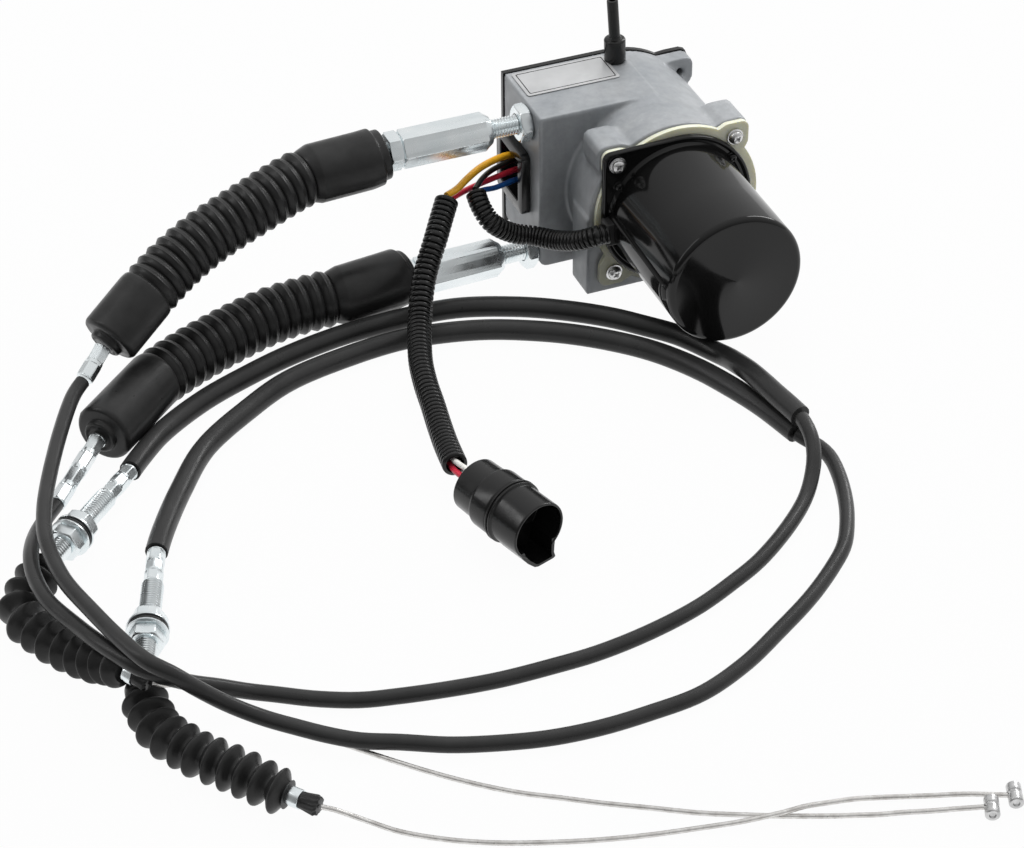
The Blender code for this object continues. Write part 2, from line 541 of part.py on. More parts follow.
boot("boot_a", BOOT_A, 0.24, 0.2, 16)
boot("boot_b", BOOT_B, 0.21, 0.27, 15)
cord("boot_ferrule_a", [(-289.2, -14.9, 37.7), (-295.5, -20.2, 33.9), (-301.6, -25.1, 30.3)], 8.4, ZINC, 3.0, 2)
cord("boot_ferrule_b", [(-304.0, -51.3, 14.5), (-320, -71, 13.6), (-333.5, -87.2, 12.4)], 8.2, ZINC, 4.0, 2)

# The two cables, from the boots round the coil to the free ends
CONDUIT_A = [(-302.8, -26.0, 29.6), (-307.0, -30.3, 28.9), (-312.2, -38.8, 29.2), (-324.9, -64.8, 30), (-338.9, -97.9, 31),
             (-344.7, -115, 32), (-349.3, -135.8, 33.5), (-349.9, -166.1, 36), (-345.5, -195.5, 40), (-339.5, -222, 42.4),
             (-333.3, -238.3, 42.3), (-326, -244, 38.6), (-315.5, -246.9, 28.5), (-304, -248.9, 18), (-291.4, -253.7, 10.5),
             (-279.5, -261.4, 7.6), (-268.8, -270.5, 7.2), (-258.3, -277.4, 6.6), (-242.7, -282, 4.2), (-224.1, -290.7, 3.6),
             (-204.8, -297.4, 3.6), (-184.7, -302.4, 3.6), (-163.4, -304.6, 3.6), (-140.7, -304.1, 3.6), (-116.3, -301.5, 3.6),
             (-91.3, -291.5, 3.6), (-68.2, -277.5, 3.6), (-47, -263.5, 3.6), (-29.2, -249, 3.6), (-17.1, -236.8, 3.6),
             (-8, -221.6, 3.6), (-1.7, -207.2, 3.6), (3.6, -189.6, 3.6), (5.5, -176.8, 3.6), (4.1, -168.4, 3.8), (1.1, -163, 4.4),
             (-1.5, -158.2, 5.2)]
CONDUIT_B = [(-334, -87.9, 12.3), (-341.8, -99.4, 15), (-349.8, -114.2, 19), (-355.9, -132.2, 24.5), (-358.8, -149.4, 27),
             (-358.1, -169.9, 29), (-351.8, -191.6, 30.8), (-347.8, -206.2, 33.6), (-342.9, -218.3, 34.6), (-335.1, -232, 34.2),
             (-327, -235.7, 30.5), (-315.7, -233.8, 21.5), (-303.4, -232.6, 13.5), (-291.1, -232.4, 8), (-281, -235.8, 4.8),
             (-266.1, -243.4, 3.7), (-249, -251.1, 3.6), (-232.7, -255.1, 3.6), (-211.9, -258.9, 3.6), (-190.9, -261.5, 3.6),
             (-168, -262.1, 3.6), (-145.9, -261.6, 3.6), (-120, -257.6, 3.6), (-94.3, -250.5, 3.6), (-73.9, -241.5, 3.6),
             (-55.9, -232, 3.6), (-32.7, -214.5, 3.6), (-17.6, -199.9, 4.2), (-10.3, -190.8, 8), (-6.1, -183.7, 12),
             (-3.5, -176.1, 15), (-2.2, -168.2, 16.5), (-1.6, -161.2, 16.6)]
SLEEVE_A = [(-1.6, -156.9, 5.2), (-7.7, -131.7, 5.2), (-14.5, -112.8, 5.2), (-23, -93.9, 5.2), (-36.3, -73.5, 5.2),
            (-51.8, -57.6, 5.2), (-69.8, -43.7, 5.2), (-88.8, -32.9, 5.2), (-104.8, -26, 5.2), (-124.5, -20.9, 5.2),
            (-145.3, -18.6, 5.2), (-175, -21.9, 5.2), (-205.8, -29.7, 5.2), (-230.6, -44, 5.2), (-257.4, -64.2, 5.3),
            (-277.3, -91, 6.2), (-294.2, -119.3, 8.4), (-301.1, -132.9, 9.4)]
SLEEVE_B = [(-1.5, -159.6, 16.6), (-3, -150.2, 16.8), (-4.6, -140.8, 16.8), (-5.8, -131.6, 16.6), (-6.8, -121.9, 15.8),
            (-6.8, -112.2, 13.2), (-6.4, -102.9, 9.8), (-6.4, -94.2, 6.8), (-8.2, -87.6, 5.5), (-19.8, -66.1, 5.2),
            (-31.6, -52.7, 5.2), (-44.2, -39.9, 5.2), (-62.4, -26, 5.2), (-81.5, -14.8, 5.2), (-110.8, -3.9, 5.2),
            (-139.2, -2.1, 5.2), (-168.6, -3.9, 5.2), (-199.3, -10.3, 5.2), (-223, -18.5, 5.2), (-247, -28.9, 5.2),
            (-272.5, -45.4, 5.3), (-288, -61.4, 6.2), (-294.8, -70.2, 7.4)]
cord("conduit_a", CONDUIT_A, CONDUIT_D, JACKET, 13.0, 2)
cord("conduit_b", CONDUIT_B, CONDUIT_D, JACKET, 13.0, 2)
cord("sleeve_a", SLEEVE_A, SLEEVE_D, JACKET, 15.0, 3)
cord("sleeve_b", SLEEVE_B, SLEEVE_D, JACKET, 15.0, 3)

# Free ends: crimped ferrule and thread in one piece, with nuts, washers and a rubber ring
ENDS = {"a": ((-301.3, -133.5, 9.4), (-332.6, -216.8, 11.5)), "b": ((-295.0, -70.4, 7.5), (-347.7, -125.0, 12.1))}
for tag, (start, end) in ENDS.items():
    start, end = Vector(start), Vector(end)
    length = (end - start).length
    direction = (end - start).normalized()
    turned(f"end_fitting_{tag}", [(0, 0.2), (4.2, 0.2), (4.2, 22), (THREAD_R, 22.6), (THREAD_R, 44.6)]
           + hex_part(44.6, 6.6, across=END_HEX)
           + [(THREAD_R, 51.2), (THREAD_R, length - 0.6), (THREAD_R - 0.6, length), (0, length)],
           start, direction, ZINC, sides=24)
    bore = THREAD_R + GAP
    turned(f"end_nut_{tag}", [(bore, 51.5), (WASHER_R, 51.5), (WASHER_R, 56.4)] + hex_part(56.4, 6.8, across=END_HEX)
           + [(bore, 63.2)], start, direction, ZINC, sides=24)

BELLOWS_A = [(-333, -218, 11.5), (-333.6, -220.6, 11.3), (-333.9, -224.5, 10.8), (-333.7, -231.7, 10.2), (-333.4, -241.5, 9.9),
             (-330.5, -250.3, 9.9), (-326.3, -257.5, 9.8), (-322.1, -264.7, 9.8), (-317.2, -270.8, 9.8), (-311, -278.7, 9.7),
             (-305.6, -286.1, 9.5), (-300.7, -293.1, 9.1), (-295.9, -298.4, 8.6)]
BELLOWS_B = [(-348.7, -126.1, 12.1), (-351.2, -128.9, 11.8), (-355.3, -133.3, 11), (-361.1, -139.8, 10.2), (-365.6, -146.7, 9.9),
             (-366.5, -154.9, 9.8), (-364, -161.6, 9.8), (-360.3, -170.8, 10), (-356.1, -179.9, 11), (-352.1, -187.9, 12.5),
             (-347.7, -196.8, 15.2), (-343.9, -205.4, 19), (-341.4, -214, 22.9), (-339.1, -219.9, 24.4)]


def bellows(name, route, lobes, last):
    """A collar, then round lobes that shrink towards the last one."""
    stations = [(0, 7.0), (0.035, 7.0)]
    for k in range(lobes):
        top = 9.5 - (9.5 - last) * max(0.0, k / (lobes - 1) - 0.7) / 0.3
        for part, radius in ((0.0, top - 2.6), (0.3, top), (0.7, top)):
            stations.append((0.045 + 0.955 * (k + part) / lobes, radius))
    return swelling(name, route, stations + [(1, 5.2)], RUBBER)


bellows("bellows_a", BELLOWS_A, 10, 7.8)
bellows("bellows_b", BELLOWS_B, 11, 7.2)
TIP = [(0, 4.0), (0.35, 4.0), (0.4, 3.4), (1, 3.3)]
swelling("end_tip_a", [(-295.3, -299, 8.6), (-292.6, -302.4, 8.5), (-290, -305.4, 8.5), (-286.6, -309, 8.4)], TIP, RUBBER, 2)
swelling("end_tip_b", [(-338.7, -220.9, 24.6), (-337.1, -223.7, 24.6), (-334.7, -226.8, 24.5), (-332, -229.8, 24)], TIP,
         RUBBER, 2)
WIRE_A = [(-286.1, -309.4, 8.3), (-281.2, -311.9, 7), (-275.9, -314.4, 4.5), (-269.1, -318.9, 2.2), (-259.6, -327.6, 1.2),
          (-242.9, -339.3, 1.1), (-225.2, -348.4, 1.1), (-206.8, -355.6, 1.1), (-187.9, -361.8, 1.1), (-168.5, -366.8, 1.1),
          (-148.9, -371.4, 1.8), (-133.3, -375.4, 3), (-116.4, -379.6, 3.8), (-97.8, -384.1, 3.7), (-77.9, -388.7, 3.3),
          (-49.9, -395.5, 2.5), (-29.95, -401.5, 2.85)]
WIRE_B = [(-331.5, -230.2, 23.8), (-328, -231.6, 22), (-322.1, -231.8, 16.6), (-309.9, -231.3, 7.8), (-297, -237.5, 2.6),
          (-280.5, -253, 1.2), (-263.1, -271.9, 1.1), (-245.9, -290.4, 1.1), (-233.3, -303.2, 1.1), (-220.5, -314.8, 1.1),
          (-207.2, -325.2, 1.1), (-193.4, -333.9, 1.1), (-179.7, -342.7, 1.1), (-162.3, -352.9, 1.1), (-145, -363.1, 1.1),
          (-128.9, -370.9, 1.1), (-115.1, -377.2, 1.1), (-89.6, -385.8, 1.1), (-63, -394.9, 1.3), (-42.9, -403.5, 2.85)]
cord("wire_a", WIRE_A, WIRE_D, WIRE_STEEL, 8.0, 1)
cord("wire_b", WIRE_B, WIRE_D, WIRE_STEEL, 8.0, 1)
NIPPLES = {"a": ((-24.7, -403.2, 2.9), (6.3, -2.0, 0.0)), "b": ((-37.9, -405.8, 2.9), (6.6, -3.0, 0.0))}
for tag, (centre, along) in NIPPLES.items():
    # the barrel lies level, in line with the end of its wire
    centre, along = Vector(centre), Vector(along).normalized()
    rod(f"nipple_{tag}", 2.8, centre - along * 5.2, centre + along * 5.2, ZINC, sides=20, chamfer=0.4)

# Wiring harness
TUBE_1 = [(-105.2, 20.5, 52), (-111.5, 12.3, 47), (-118.1, 3.4, 42), (-123.5, -2.4, 36), (-128.5, -9, 31),
          (-133.6, -17.6, 25), (-138.3, -27.8, 19.5), (-143.7, -42, 17.5), (-148.2, -55.8, 16.9), (-151.7, -71.6, 16.5),
          (-153.9, -85.9, 16), (-156.8, -102.2, 16), (-159.6, -118.6, 17), (-162.1, -136.3, 19)]
TUBE_2 = [(-89, 24, 50), (-89, 17, 46), (-86, 11, 40), (-76, 9, 32.5), (-66, 6, 30), (-57.6, -3, 30.8),
          (-53.7, -10, 33.8), (-50.2, -15.5, 36.6), (-46.6, -19.3, 39.2), (-42.6, -20.3, 39.4)]
cord("harness_tube_1", TUBE_1, TUBE1_D, PLASTIC, 6.0, 3)
cord("harness_tube_2", TUBE_2, TUBE2_D, PLASTIC, 4.0, 3)
for name, look, route in (
    ("wire_yellow", YELLOW, [(-56.5, 47.5, 51), (-62, 46, 52.4), (-70.8, 41, 55.2), (-81.8, 36, 55.5), (-91.5, 30, 54.5),
                             (-98.2, 25, 53.8), (-105.2, 20.9, 54.1)]),
    ("wire_black", BLACK_WIRE, [(-56.5, 50, 47.2), (-62, 48, 47.2), (-73.2, 42, 48.6), (-82, 33, 51), (-88.9, 24.9, 51.4)]),
    ("wire_red", RED, [(-56.5, 46.5, 43), (-62, 45, 43.5), (-72.5, 41, 44.5), (-83.4, 36, 46), (-93, 30.4, 47.7),
                       (-104, 22, 50.4)]),
    ("wire_blue", BLUE, [(-56.5, 45, 38), (-62, 43, 39), (-72.5, 38.5, 40.4), (-81.4, 32, 45), (-88.1, 26.2, 48.7)]),
):
    cord(name, route, {"wire_yellow": 3.6, "wire_red": 3.0}.get(name, 2.8), look, 4.0, 2)

# Plug: a rear barrel, a wider barrel, a collar and a front barrel with an open mouth
PLUG_FROM, PLUG_TO = Vector((-159.3, -154.7, 20.4)), Vector((-145.7, -196.0, 20.4))
REAR_R, MID_R, COLLAR_R, FRONT_R, MOUTH_R = 11.9, 14.4, 15.1, 13.9, 12.6
CHANNEL_LOW, CHANNEL_HALF, CHANNEL_WALL = 20.1, 7.8, 1.4  # the key channel under the front barrel rests on the floor
plug_side, plug_up, plug_along = frame_of(PLUG_TO - PLUG_FROM)
plug_length = (PLUG_TO - PLUG_FROM).length
plug = turned("plug", [(0, 0), (REAR_R - 1, 0), (REAR_R, 1), (REAR_R, 9), (MID_R, 10.6), (MID_R, 23.4), (COLLAR_R, 23.6),
                       (COLLAR_R, 26.4), (FRONT_R, 26.8), (FRONT_R, plug_length), (MOUTH_R, plug_length),
                       (MOUTH_R, plug_length - 16), (0, plug_length - 16)], PLUG_FROM, plug_along, PLASTIC, sides=28)
channel = [(-CHANNEL_LOW, 5.5 - CHANNEL_HALF), (1.6 - CHANNEL_LOW, -CHANNEL_HALF), (-9, -CHANNEL_HALF), (-9, CHANNEL_HALF),
           (1.6 - CHANNEL_LOW, CHANNEL_HALF), (-CHANNEL_LOW, CHANNEL_HALF - 5.5)]
join(plug, prism("plug_channel", channel, PLUG_FROM + plug_along * 24.5, plug_up, plug_side, plug_length - 25.3, cutter=True))
room = CHANNEL_HALF - CHANNEL_WALL
cut(plug, prism("plug_channel_room", [(CHANNEL_WALL - CHANNEL_LOW, -room), (-7, -room), (-7, room),
                                      (CHANNEL_WALL - CHANNEL_LOW, room)],
                PLUG_FROM + plug_along * 29, plug_up, plug_side, plug_length - 27, cutter=True))
for name, look, route in (
    ("plug_wire_red", RED, [(-163.3, -137, 17), (-163.5, -142, 17.6), (-162.6, -148.5, 18.4), (-161.4, -154.9, 18.9)]),
    ("plug_wire_white", WHITE, [(-161, -137, 21), (-160.2, -142, 22.5), (-158.8, -148.5, 23.4), (-157.8, -153.7, 23.8)]),
):
    cord(name, route, 2.4, look, 4.0, 2)

# All meshes so far are in millimetres, which keeps shared planes exact: apply the Booleans, then go to metres
bpy.context.view_layer.update()
graph = bpy.context.evaluated_depsgraph_get()
bodies = [obj for obj in bpy.context.scene.collection.objects if obj.type == "MESH"]
made = {obj: bpy.data.meshes.new_from_object(obj.evaluated_get(graph)) for obj in bodies}
for obj, mesh in made.items():
    look = obj.data.materials[0]
    obj.modifiers.clear()
    obj.data = mesh
    mesh.transform(Matrix.Scale(MM, 4))
    mesh.materials.clear()
    mesh.materials.append(look)
    for face in mesh.polygons:
        face.material_index = 0
for obj in list(cutters.objects):
    bpy.data.objects.remove(obj, do_unlink=True)
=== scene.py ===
"""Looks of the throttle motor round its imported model: finishes, threads, boots, wires, plug and light."""

import json
import math

import bmesh
import bpy
from mathutils import Matrix, Vector


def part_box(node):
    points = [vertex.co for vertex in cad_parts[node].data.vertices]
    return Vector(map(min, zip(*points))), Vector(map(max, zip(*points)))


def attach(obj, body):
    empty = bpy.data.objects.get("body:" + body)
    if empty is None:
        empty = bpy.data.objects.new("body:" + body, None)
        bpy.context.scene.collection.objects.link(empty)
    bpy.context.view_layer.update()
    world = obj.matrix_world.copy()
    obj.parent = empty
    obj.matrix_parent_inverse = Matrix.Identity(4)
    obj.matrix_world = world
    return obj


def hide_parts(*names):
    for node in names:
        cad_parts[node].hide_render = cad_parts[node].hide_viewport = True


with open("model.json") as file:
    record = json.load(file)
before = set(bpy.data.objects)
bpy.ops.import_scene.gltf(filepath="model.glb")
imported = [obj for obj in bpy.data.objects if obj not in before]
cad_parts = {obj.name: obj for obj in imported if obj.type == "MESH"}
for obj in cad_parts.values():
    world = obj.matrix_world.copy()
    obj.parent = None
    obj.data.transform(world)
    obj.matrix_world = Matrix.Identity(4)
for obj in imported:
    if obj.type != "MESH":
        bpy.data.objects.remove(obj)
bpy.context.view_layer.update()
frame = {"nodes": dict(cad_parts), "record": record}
UNIT = "motor_unit"  # the body that everything outside the gear room rides on

# Places and sizes shared with the model, in metres
AXIS_Z = 0.044
BOX_LEFT = -0.058
HEX = 0.017
THREAD_R = 0.005
PITCH = 0.0015
CONDUIT_D, SLEEVE_D, WIRE_D = 0.007, 0.0103, 0.0022
END_HEX, WASHER_R = 0.0145, 0.0094
TUBE1_D, TUBE2_D = 0.0118, 0.0102
UPPER = (Vector((BOX_LEFT, 0.032, 0.0787)), Vector((-1, 0, 0)))
LOWER = (Vector((BOX_LEFT, 0.025, 0.0093)), Vector((-0.0642, -0.004, 0.0015)).normalized())
COUPLINGS = {"a": (0.0204, 0.0666, 0.0064), "b": (0.0188, 0.0645, 0.0036)}  # near end, far end, thin nut
ENDS = {
    "a": (Vector((-0.3013, -0.1335, 0.0094)), Vector((-0.3326, -0.2168, 0.0115))),
    "b": (Vector((-0.295, -0.0704, 0.0075)), Vector((-0.3477, -0.125, 0.0121))),
}

# Routes in millimetres, as in the model but for the wires' ends and the second tube
ROUTES = {
    "boot_a": [(-132.7, 32.6, 77.9), (-150, 32, 76), (-169, 32, 75.5), (-178, 30, 75), (-200, 23, 71.5),
        (-228, 15, 65), (-246, 8, 59), (-261, 0, 53), (-273, -6, 47), (-288.5, -14.3, 38.2)],
    "boot_b": [(-127.9, 20, 14.6), (-142, 17, 14.6), (-157, 15, 14.6), (-169, 15, 14.6), (-199, 12, 14.6),
        (-231, 1, 14.6), (-256, -11, 14.6), (-274.5, -23, 14.6), (-291, -39.5, 14.6),
        (-303.5, -50.5, 14.6)],
    "boot_ferrule_a": [(-289.2, -14.9, 37.7), (-295.5, -20.2, 33.9), (-301.6, -25.1, 30.3)],
    "boot_ferrule_b": [(-304, -51.3, 14.5), (-320, -71, 13.6), (-333.5, -87.2, 12.4)],
    "conduit_a": [(-302.8, -26, 29.6), (-307, -30.3, 28.9), (-312.2, -38.8, 29.2), (-324.9, -64.8, 30),
        (-338.9, -97.9, 31), (-344.7, -115, 32), (-349.3, -135.8, 33.5), (-349.9, -166.1, 36),
        (-345.5, -195.5, 40), (-339.5, -222, 42.4), (-333.3, -238.3, 42.3), (-326, -244, 38.6),
        (-315.5, -246.9, 28.5), (-304, -248.9, 18), (-291.4, -253.7, 10.5), (-279.5, -261.4, 7.6),
        (-268.8, -270.5, 7.2), (-258.3, -277.4, 6.6), (-242.7, -282, 4.2), (-224.1, -290.7, 3.6),
        (-204.8, -297.4, 3.6), (-184.7, -302.4, 3.6), (-163.4, -304.6, 3.6), (-140.7, -304.1, 3.6),
        (-116.3, -301.5, 3.6), (-91.3, -291.5, 3.6), (-68.2, -277.5, 3.6), (-47, -263.5, 3.6),
        (-29.2, -249, 3.6), (-17.1, -236.8, 3.6), (-8, -221.6, 3.6), (-1.7, -207.2, 3.6),
        (3.6, -189.6, 3.6), (5.5, -176.8, 3.6), (4.1, -168.4, 3.8), (1.1, -163, 4.4), (-1.5, -158.2, 5.2)],
    "conduit_b": [(-334, -87.9, 12.3), (-341.8, -99.4, 15), (-349.8, -114.2, 19), (-355.9, -132.2, 24.5),
        (-358.8, -149.4, 27), (-358.1, -169.9, 29), (-351.8, -191.6, 30.8), (-347.8, -206.2, 33.6),
        (-342.9, -218.3, 34.6), (-335.1, -232, 34.2), (-327, -235.7, 30.5), (-315.7, -233.8, 21.5),
        (-303.4, -232.6, 14.2), (-291.1, -232.4, 7.2), (-281, -235.8, 5), (-266.1, -243.4, 3.7),
        (-249, -251.1, 3.6), (-232.7, -255.1, 3.6), (-211.9, -258.9, 3.6), (-190.9, -261.5, 3.6),
        (-168, -262.1, 3.6), (-145.9, -261.6, 3.6), (-120, -257.6, 3.6), (-94.3, -250.5, 3.6),
        (-73.9, -241.5, 3.6), (-55.9, -232, 3.6), (-32.7, -214.5, 3.6), (-17.6, -199.9, 4.2),
        (-10.3, -190.8, 8), (-6.1, -183.7, 12), (-3.5, -176.1, 15), (-2.2, -168.2, 16.5),
        (-1.6, -161.2, 16.6)],
    "sleeve_a": [(-1.6, -156.9, 5.2), (-7.7, -131.7, 5.2), (-14.5, -112.8, 5.2), (-23, -93.9, 5.2),
        (-36.3, -73.5, 5.2), (-51.8, -57.6, 5.2), (-69.8, -43.7, 5.2), (-88.8, -32.9, 5.2),
        (-104.8, -26, 5.2), (-124.5, -20.9, 5.2), (-145.3, -18.6, 5.2), (-175, -21.9, 5.2),
        (-205.8, -29.7, 5.2), (-230.6, -44, 5.2), (-257.4, -64.2, 5.3), (-277.3, -91, 6.2),
        (-294.2, -119.3, 8.4), (-301.1, -132.9, 9.4)],
    "sleeve_b": [(-1.5, -159.6, 16.6), (-3, -150.2, 16.8), (-4.6, -140.8, 16.8), (-5.8, -131.6, 16.6),
        (-6.8, -121.9, 15.8), (-6.8, -112.2, 13.2), (-6.4, -102.9, 9.8), (-6.4, -94.2, 6.8),
        (-8.2, -87.6, 5.5), (-19.8, -66.1, 5.2), (-31.6, -52.7, 5.2), (-44.2, -39.9, 5.2),
        (-62.4, -26, 5.2), (-81.5, -14.8, 5.2), (-110.8, -3.9, 5.2), (-139.2, -2.1, 5.2),
        (-168.6, -3.9, 5.2), (-199.3, -10.3, 5.2), (-223, -18.5, 5.2), (-247, -28.9, 5.2),
        (-272.5, -45.4, 5.3), (-288, -61.4, 6.2), (-294.8, -70.2, 7.4)],
    "bellows_a": [(-333, -218, 11.5), (-333.6, -220.6, 11.3), (-333.9, -224.5, 10.8),
        (-333.7, -231.7, 10.2), (-333.4, -241.5, 9.9), (-330.5, -250.3, 9.9), (-326.3, -257.5, 9.8),
        (-322.1, -264.7, 9.8), (-317.2, -270.8, 9.8), (-311, -278.7, 9.7), (-305.6, -286.1, 9.5),
        (-300.7, -293.1, 9.1), (-295.9, -298.4, 8.6)],
    "bellows_b": [(-348.7, -126.1, 12.1), (-351.2, -128.9, 11.8), (-355.3, -133.3, 11),
        (-361.1, -139.8, 10.2), (-365.6, -146.7, 9.9), (-366.5, -154.9, 9.8), (-364, -161.6, 9.8),
        (-360.3, -170.8, 10), (-356.1, -179.9, 11), (-352.1, -187.9, 12.5), (-347.7, -196.8, 15.2),
        (-343.9, -205.4, 19), (-341.4, -214, 22.9), (-339.1, -219.9, 24.4)],
    "end_tip_a": [(-295.3, -299, 8.6), (-292.6, -302.4, 8.5), (-290, -305.4, 8.5), (-286.6, -309, 8.4)],
    "end_tip_b": [(-338.7, -220.9, 24.6), (-337.1, -223.7, 24.6), (-334.7, -226.8, 24.5),
        (-332, -229.8, 24)],
    "wire_a": [(-286.1, -309.4, 8.3), (-281.2, -311.9, 7), (-275.9, -314.4, 4.5), (-269.1, -318.9, 2.2),
        (-259.6, -327.6, 1.2), (-242.9, -339.3, 1.1), (-225.2, -348.4, 1.1), (-206.8, -355.6, 1.1),
        (-187.9, -361.8, 1.1), (-168.5, -366.8, 1.1), (-148.9, -371.4, 1.8), (-133.3, -375.4, 3),
        (-115.5, -377.6, 3.6), (-105.7, -377.7, 3.4), (-95.2, -378.9, 2.8), (-84.7, -380.4, 2.2),
        (-74.8, -383.1, 1.8), (-55.7, -389.6, 1.6), (-42.6, -394.7, 2.2), (-27.7, -402.4, 3.1)],
    "wire_b": [(-331.5, -230.2, 23.8), (-326.5, -229.5, 20.5), (-318.8, -225.2, 14), (-310.7, -227.2, 9),
        (-300.5, -235.1, 4.6), (-289.3, -245.7, 2.4), (-278, -256, 1.4), (-268.3, -265.8, 1.1),
        (-245.9, -290.4, 1.1), (-233.3, -303.2, 1.1), (-220.5, -314.8, 1.1), (-207.2, -325.2, 1.1),
        (-193.4, -333.9, 1.1), (-179.7, -342.7, 1.1), (-162.3, -352.9, 1.1), (-145, -363.1, 1.1),
        (-128.9, -370.9, 1.1), (-115.1, -377.2, 1.1), (-97.8, -384.3, 1.1), (-88.4, -387.7, 1.1),
        (-78.9, -391.1, 1.1), (-69.2, -393.8, 1.1), (-59.6, -397, 1.2), (-50.1, -400.2, 1.7),
        (-39.6, -404.8, 3.1)],
    "harness_tube_1": [(-105.2, 20.5, 52), (-111.5, 12.3, 47), (-118.1, 3.4, 42), (-123.5, -2.4, 36),
        (-128.5, -9, 31), (-133.6, -17.6, 25), (-138.3, -27.8, 19.5), (-143.7, -42, 17.5),
        (-148.2, -55.8, 16.9), (-151.7, -71.6, 16.5), (-153.9, -85.9, 16), (-156.8, -102.2, 16),
        (-159.6, -118.6, 17), (-162.1, -136.3, 19)],
    "harness_tube_2": [(-89, 24, 50), (-89, 17, 46), (-86, 11, 40), (-76, 9, 32.5), (-66, 6, 30),
        (-57.6, -3, 30.8), (-53.7, -10, 33.8), (-50.2, -15.5, 36.6), (-44, -20.5, 40.6),
        (-37.9, -21.4, 41.2)],
    "wire_yellow": [(-56.5, 47.5, 51), (-62, 46, 52.4), (-70.8, 41, 55.2), (-81.8, 36, 55.5),
        (-91.5, 30, 54.5), (-98.2, 25, 53.8), (-105.2, 20.9, 54.1)],
    "wire_black": [(-56.5, 50, 47.2), (-62, 48, 47.2), (-73.2, 42, 48.6), (-82, 33, 51),
        (-88.9, 24.9, 51.4)],
    "wire_red": [(-56.5, 46.5, 43), (-62, 45, 43.5), (-72.5, 41, 44.5), (-83.4, 36, 46), (-93, 30.4, 47.7),
        (-104, 22, 50.4)],
    "wire_blue": [(-56.5, 45, 38), (-62, 43, 39), (-72.5, 38.5, 40.4), (-81.4, 32, 45),
        (-88.1, 26.2, 48.7)],
    "plug_wire_red": [(-161.4, -122.5, 15.6), (-162.9, -131, 16.4), (-163.1, -137.5, 17.4),
        (-162.3, -144, 18.5), (-161.6, -148.7, 19.1), (-160.7, -153.4, 19.7)],
    "plug_wire_white": [(-159, -122.5, 19), (-161.2, -129, 19.4), (-161.7, -135.1, 20.4),
        (-161.1, -140.3, 21.6), (-160.3, -145.5, 22.8), (-159.5, -153.1, 23.6)],
}
ROUTES = {name: [(x / 1000, y / 1000, z / 1000) for x, y, z in route] for name, route in ROUTES.items()}


# Finishes
def add_node(tree, kind, operation=None, **values):
    """A shader node with these inputs set. An underscore stands for a space in an input's name."""
    made = tree.nodes.new("ShaderNode" + kind)
    if operation:
        made.operation = operation
    for socket, value in values.items():
        made.inputs[socket.replace("_", " ")].default_value = value
    return made


class Look:
    """A Principled material with a few nodes on the object's own metres.

    A noise is (size of its blotches in metres, detail, roughness, stretch), or the first few of these.
    """

    def __init__(self, name, colour, rough, metal, **sockets):
        self.made = bpy.data.materials.new(name)
        self.made.use_nodes = True
        self.made.diffuse_color = (*colour, 1)
        self.tree = self.made.node_tree
        self.shader = self.tree.nodes["Principled BSDF"]
        values = {"Base_Color": (*colour, 1), "Roughness": rough, "Metallic": metal, **sockets}
        for socket, value in values.items():
            self.shader.inputs[socket.replace("_", " ")].default_value = value
        self.place = add_node(self.tree, "TexCoord").outputs["Object"]
        self.last_bump = None

    def link(self, source, target):
        self.tree.links.new(source, target)

    def noise(self, size, detail=4.0, rough=0.55, stretch=(1, 1, 1)):
        mapping = add_node(self.tree, "Mapping", Scale=stretch)
        texture = add_node(self.tree, "TexNoise", Scale=1 / size, Detail=detail, Roughness=rough)
        self.link(self.place, mapping.inputs["Vector"])
        self.link(mapping.outputs["Vector"], texture.inputs["Vector"])
        return texture.outputs["Fac"]

    def tones(self, noise, *stops):
        """Two colours along a noise: (place, colour)."""
        ramp = add_node(self.tree, "ValToRGB")
        for element, (spot, colour) in zip(ramp.color_ramp.elements, stops):
            element.position = spot
            element.color = (*colour, 1)
        self.link(self.noise(*noise), ramp.inputs["Fac"])
        return ramp.outputs["Color"]

    def paint(self, colour):
        self.link(colour, self.shader.inputs["Base Color"])

    def multiply(self, one, two, share=1.0):
        mix = add_node(self.tree, "Mix")
        mix.data_type = "RGBA"
        mix.blend_type = "MULTIPLY"
        mix.inputs["Factor"].default_value = share
        self.link(one, mix.inputs["A"])
        self.link(two, mix.inputs["B"])
        return mix.outputs["Result"]

    def roughen(self, noise, low, high):
        span = add_node(self.tree, "MapRange", From_Min=0.3, From_Max=0.7, To_Min=low, To_Max=high)
        self.link(self.noise(*noise), span.inputs["Value"])
        self.link(span.outputs["Result"], self.shader.inputs["Roughness"])

    def bump(self, noise, strength, depth):
        node = add_node(self.tree, "Bump", Strength=strength, Distance=depth)
        self.link(self.noise(*noise), node.inputs["Height"])
        if self.last_bump:
            self.link(self.last_bump, node.inputs["Normal"])
        self.last_bump = node.outputs["Normal"]
        self.link(self.last_bump, self.shader.inputs["Normal"])


LOOKS = {}


def finish(slot, colour, rough, metal=0.0, tones=None, sheen=None, bumps=(), **sockets):
    """The finish of a slot: tones are a noise and two stops, sheen a noise with its lowest and highest
    roughness, and each bump a noise with its strength and depth.
    """
    look = Look(f"{slot}_look", colour, rough, metal, **sockets)
    if tones:
        look.paint(look.tones(*tones))
    if sheen:
        look.roughen(*sheen)
    for bump in bumps:
        look.bump(*bump)
    LOOKS[slot] = look.made
    return look


def grey(value, blue=0.0):
    return (value * (1 - blue), value, value * (1 + blue))


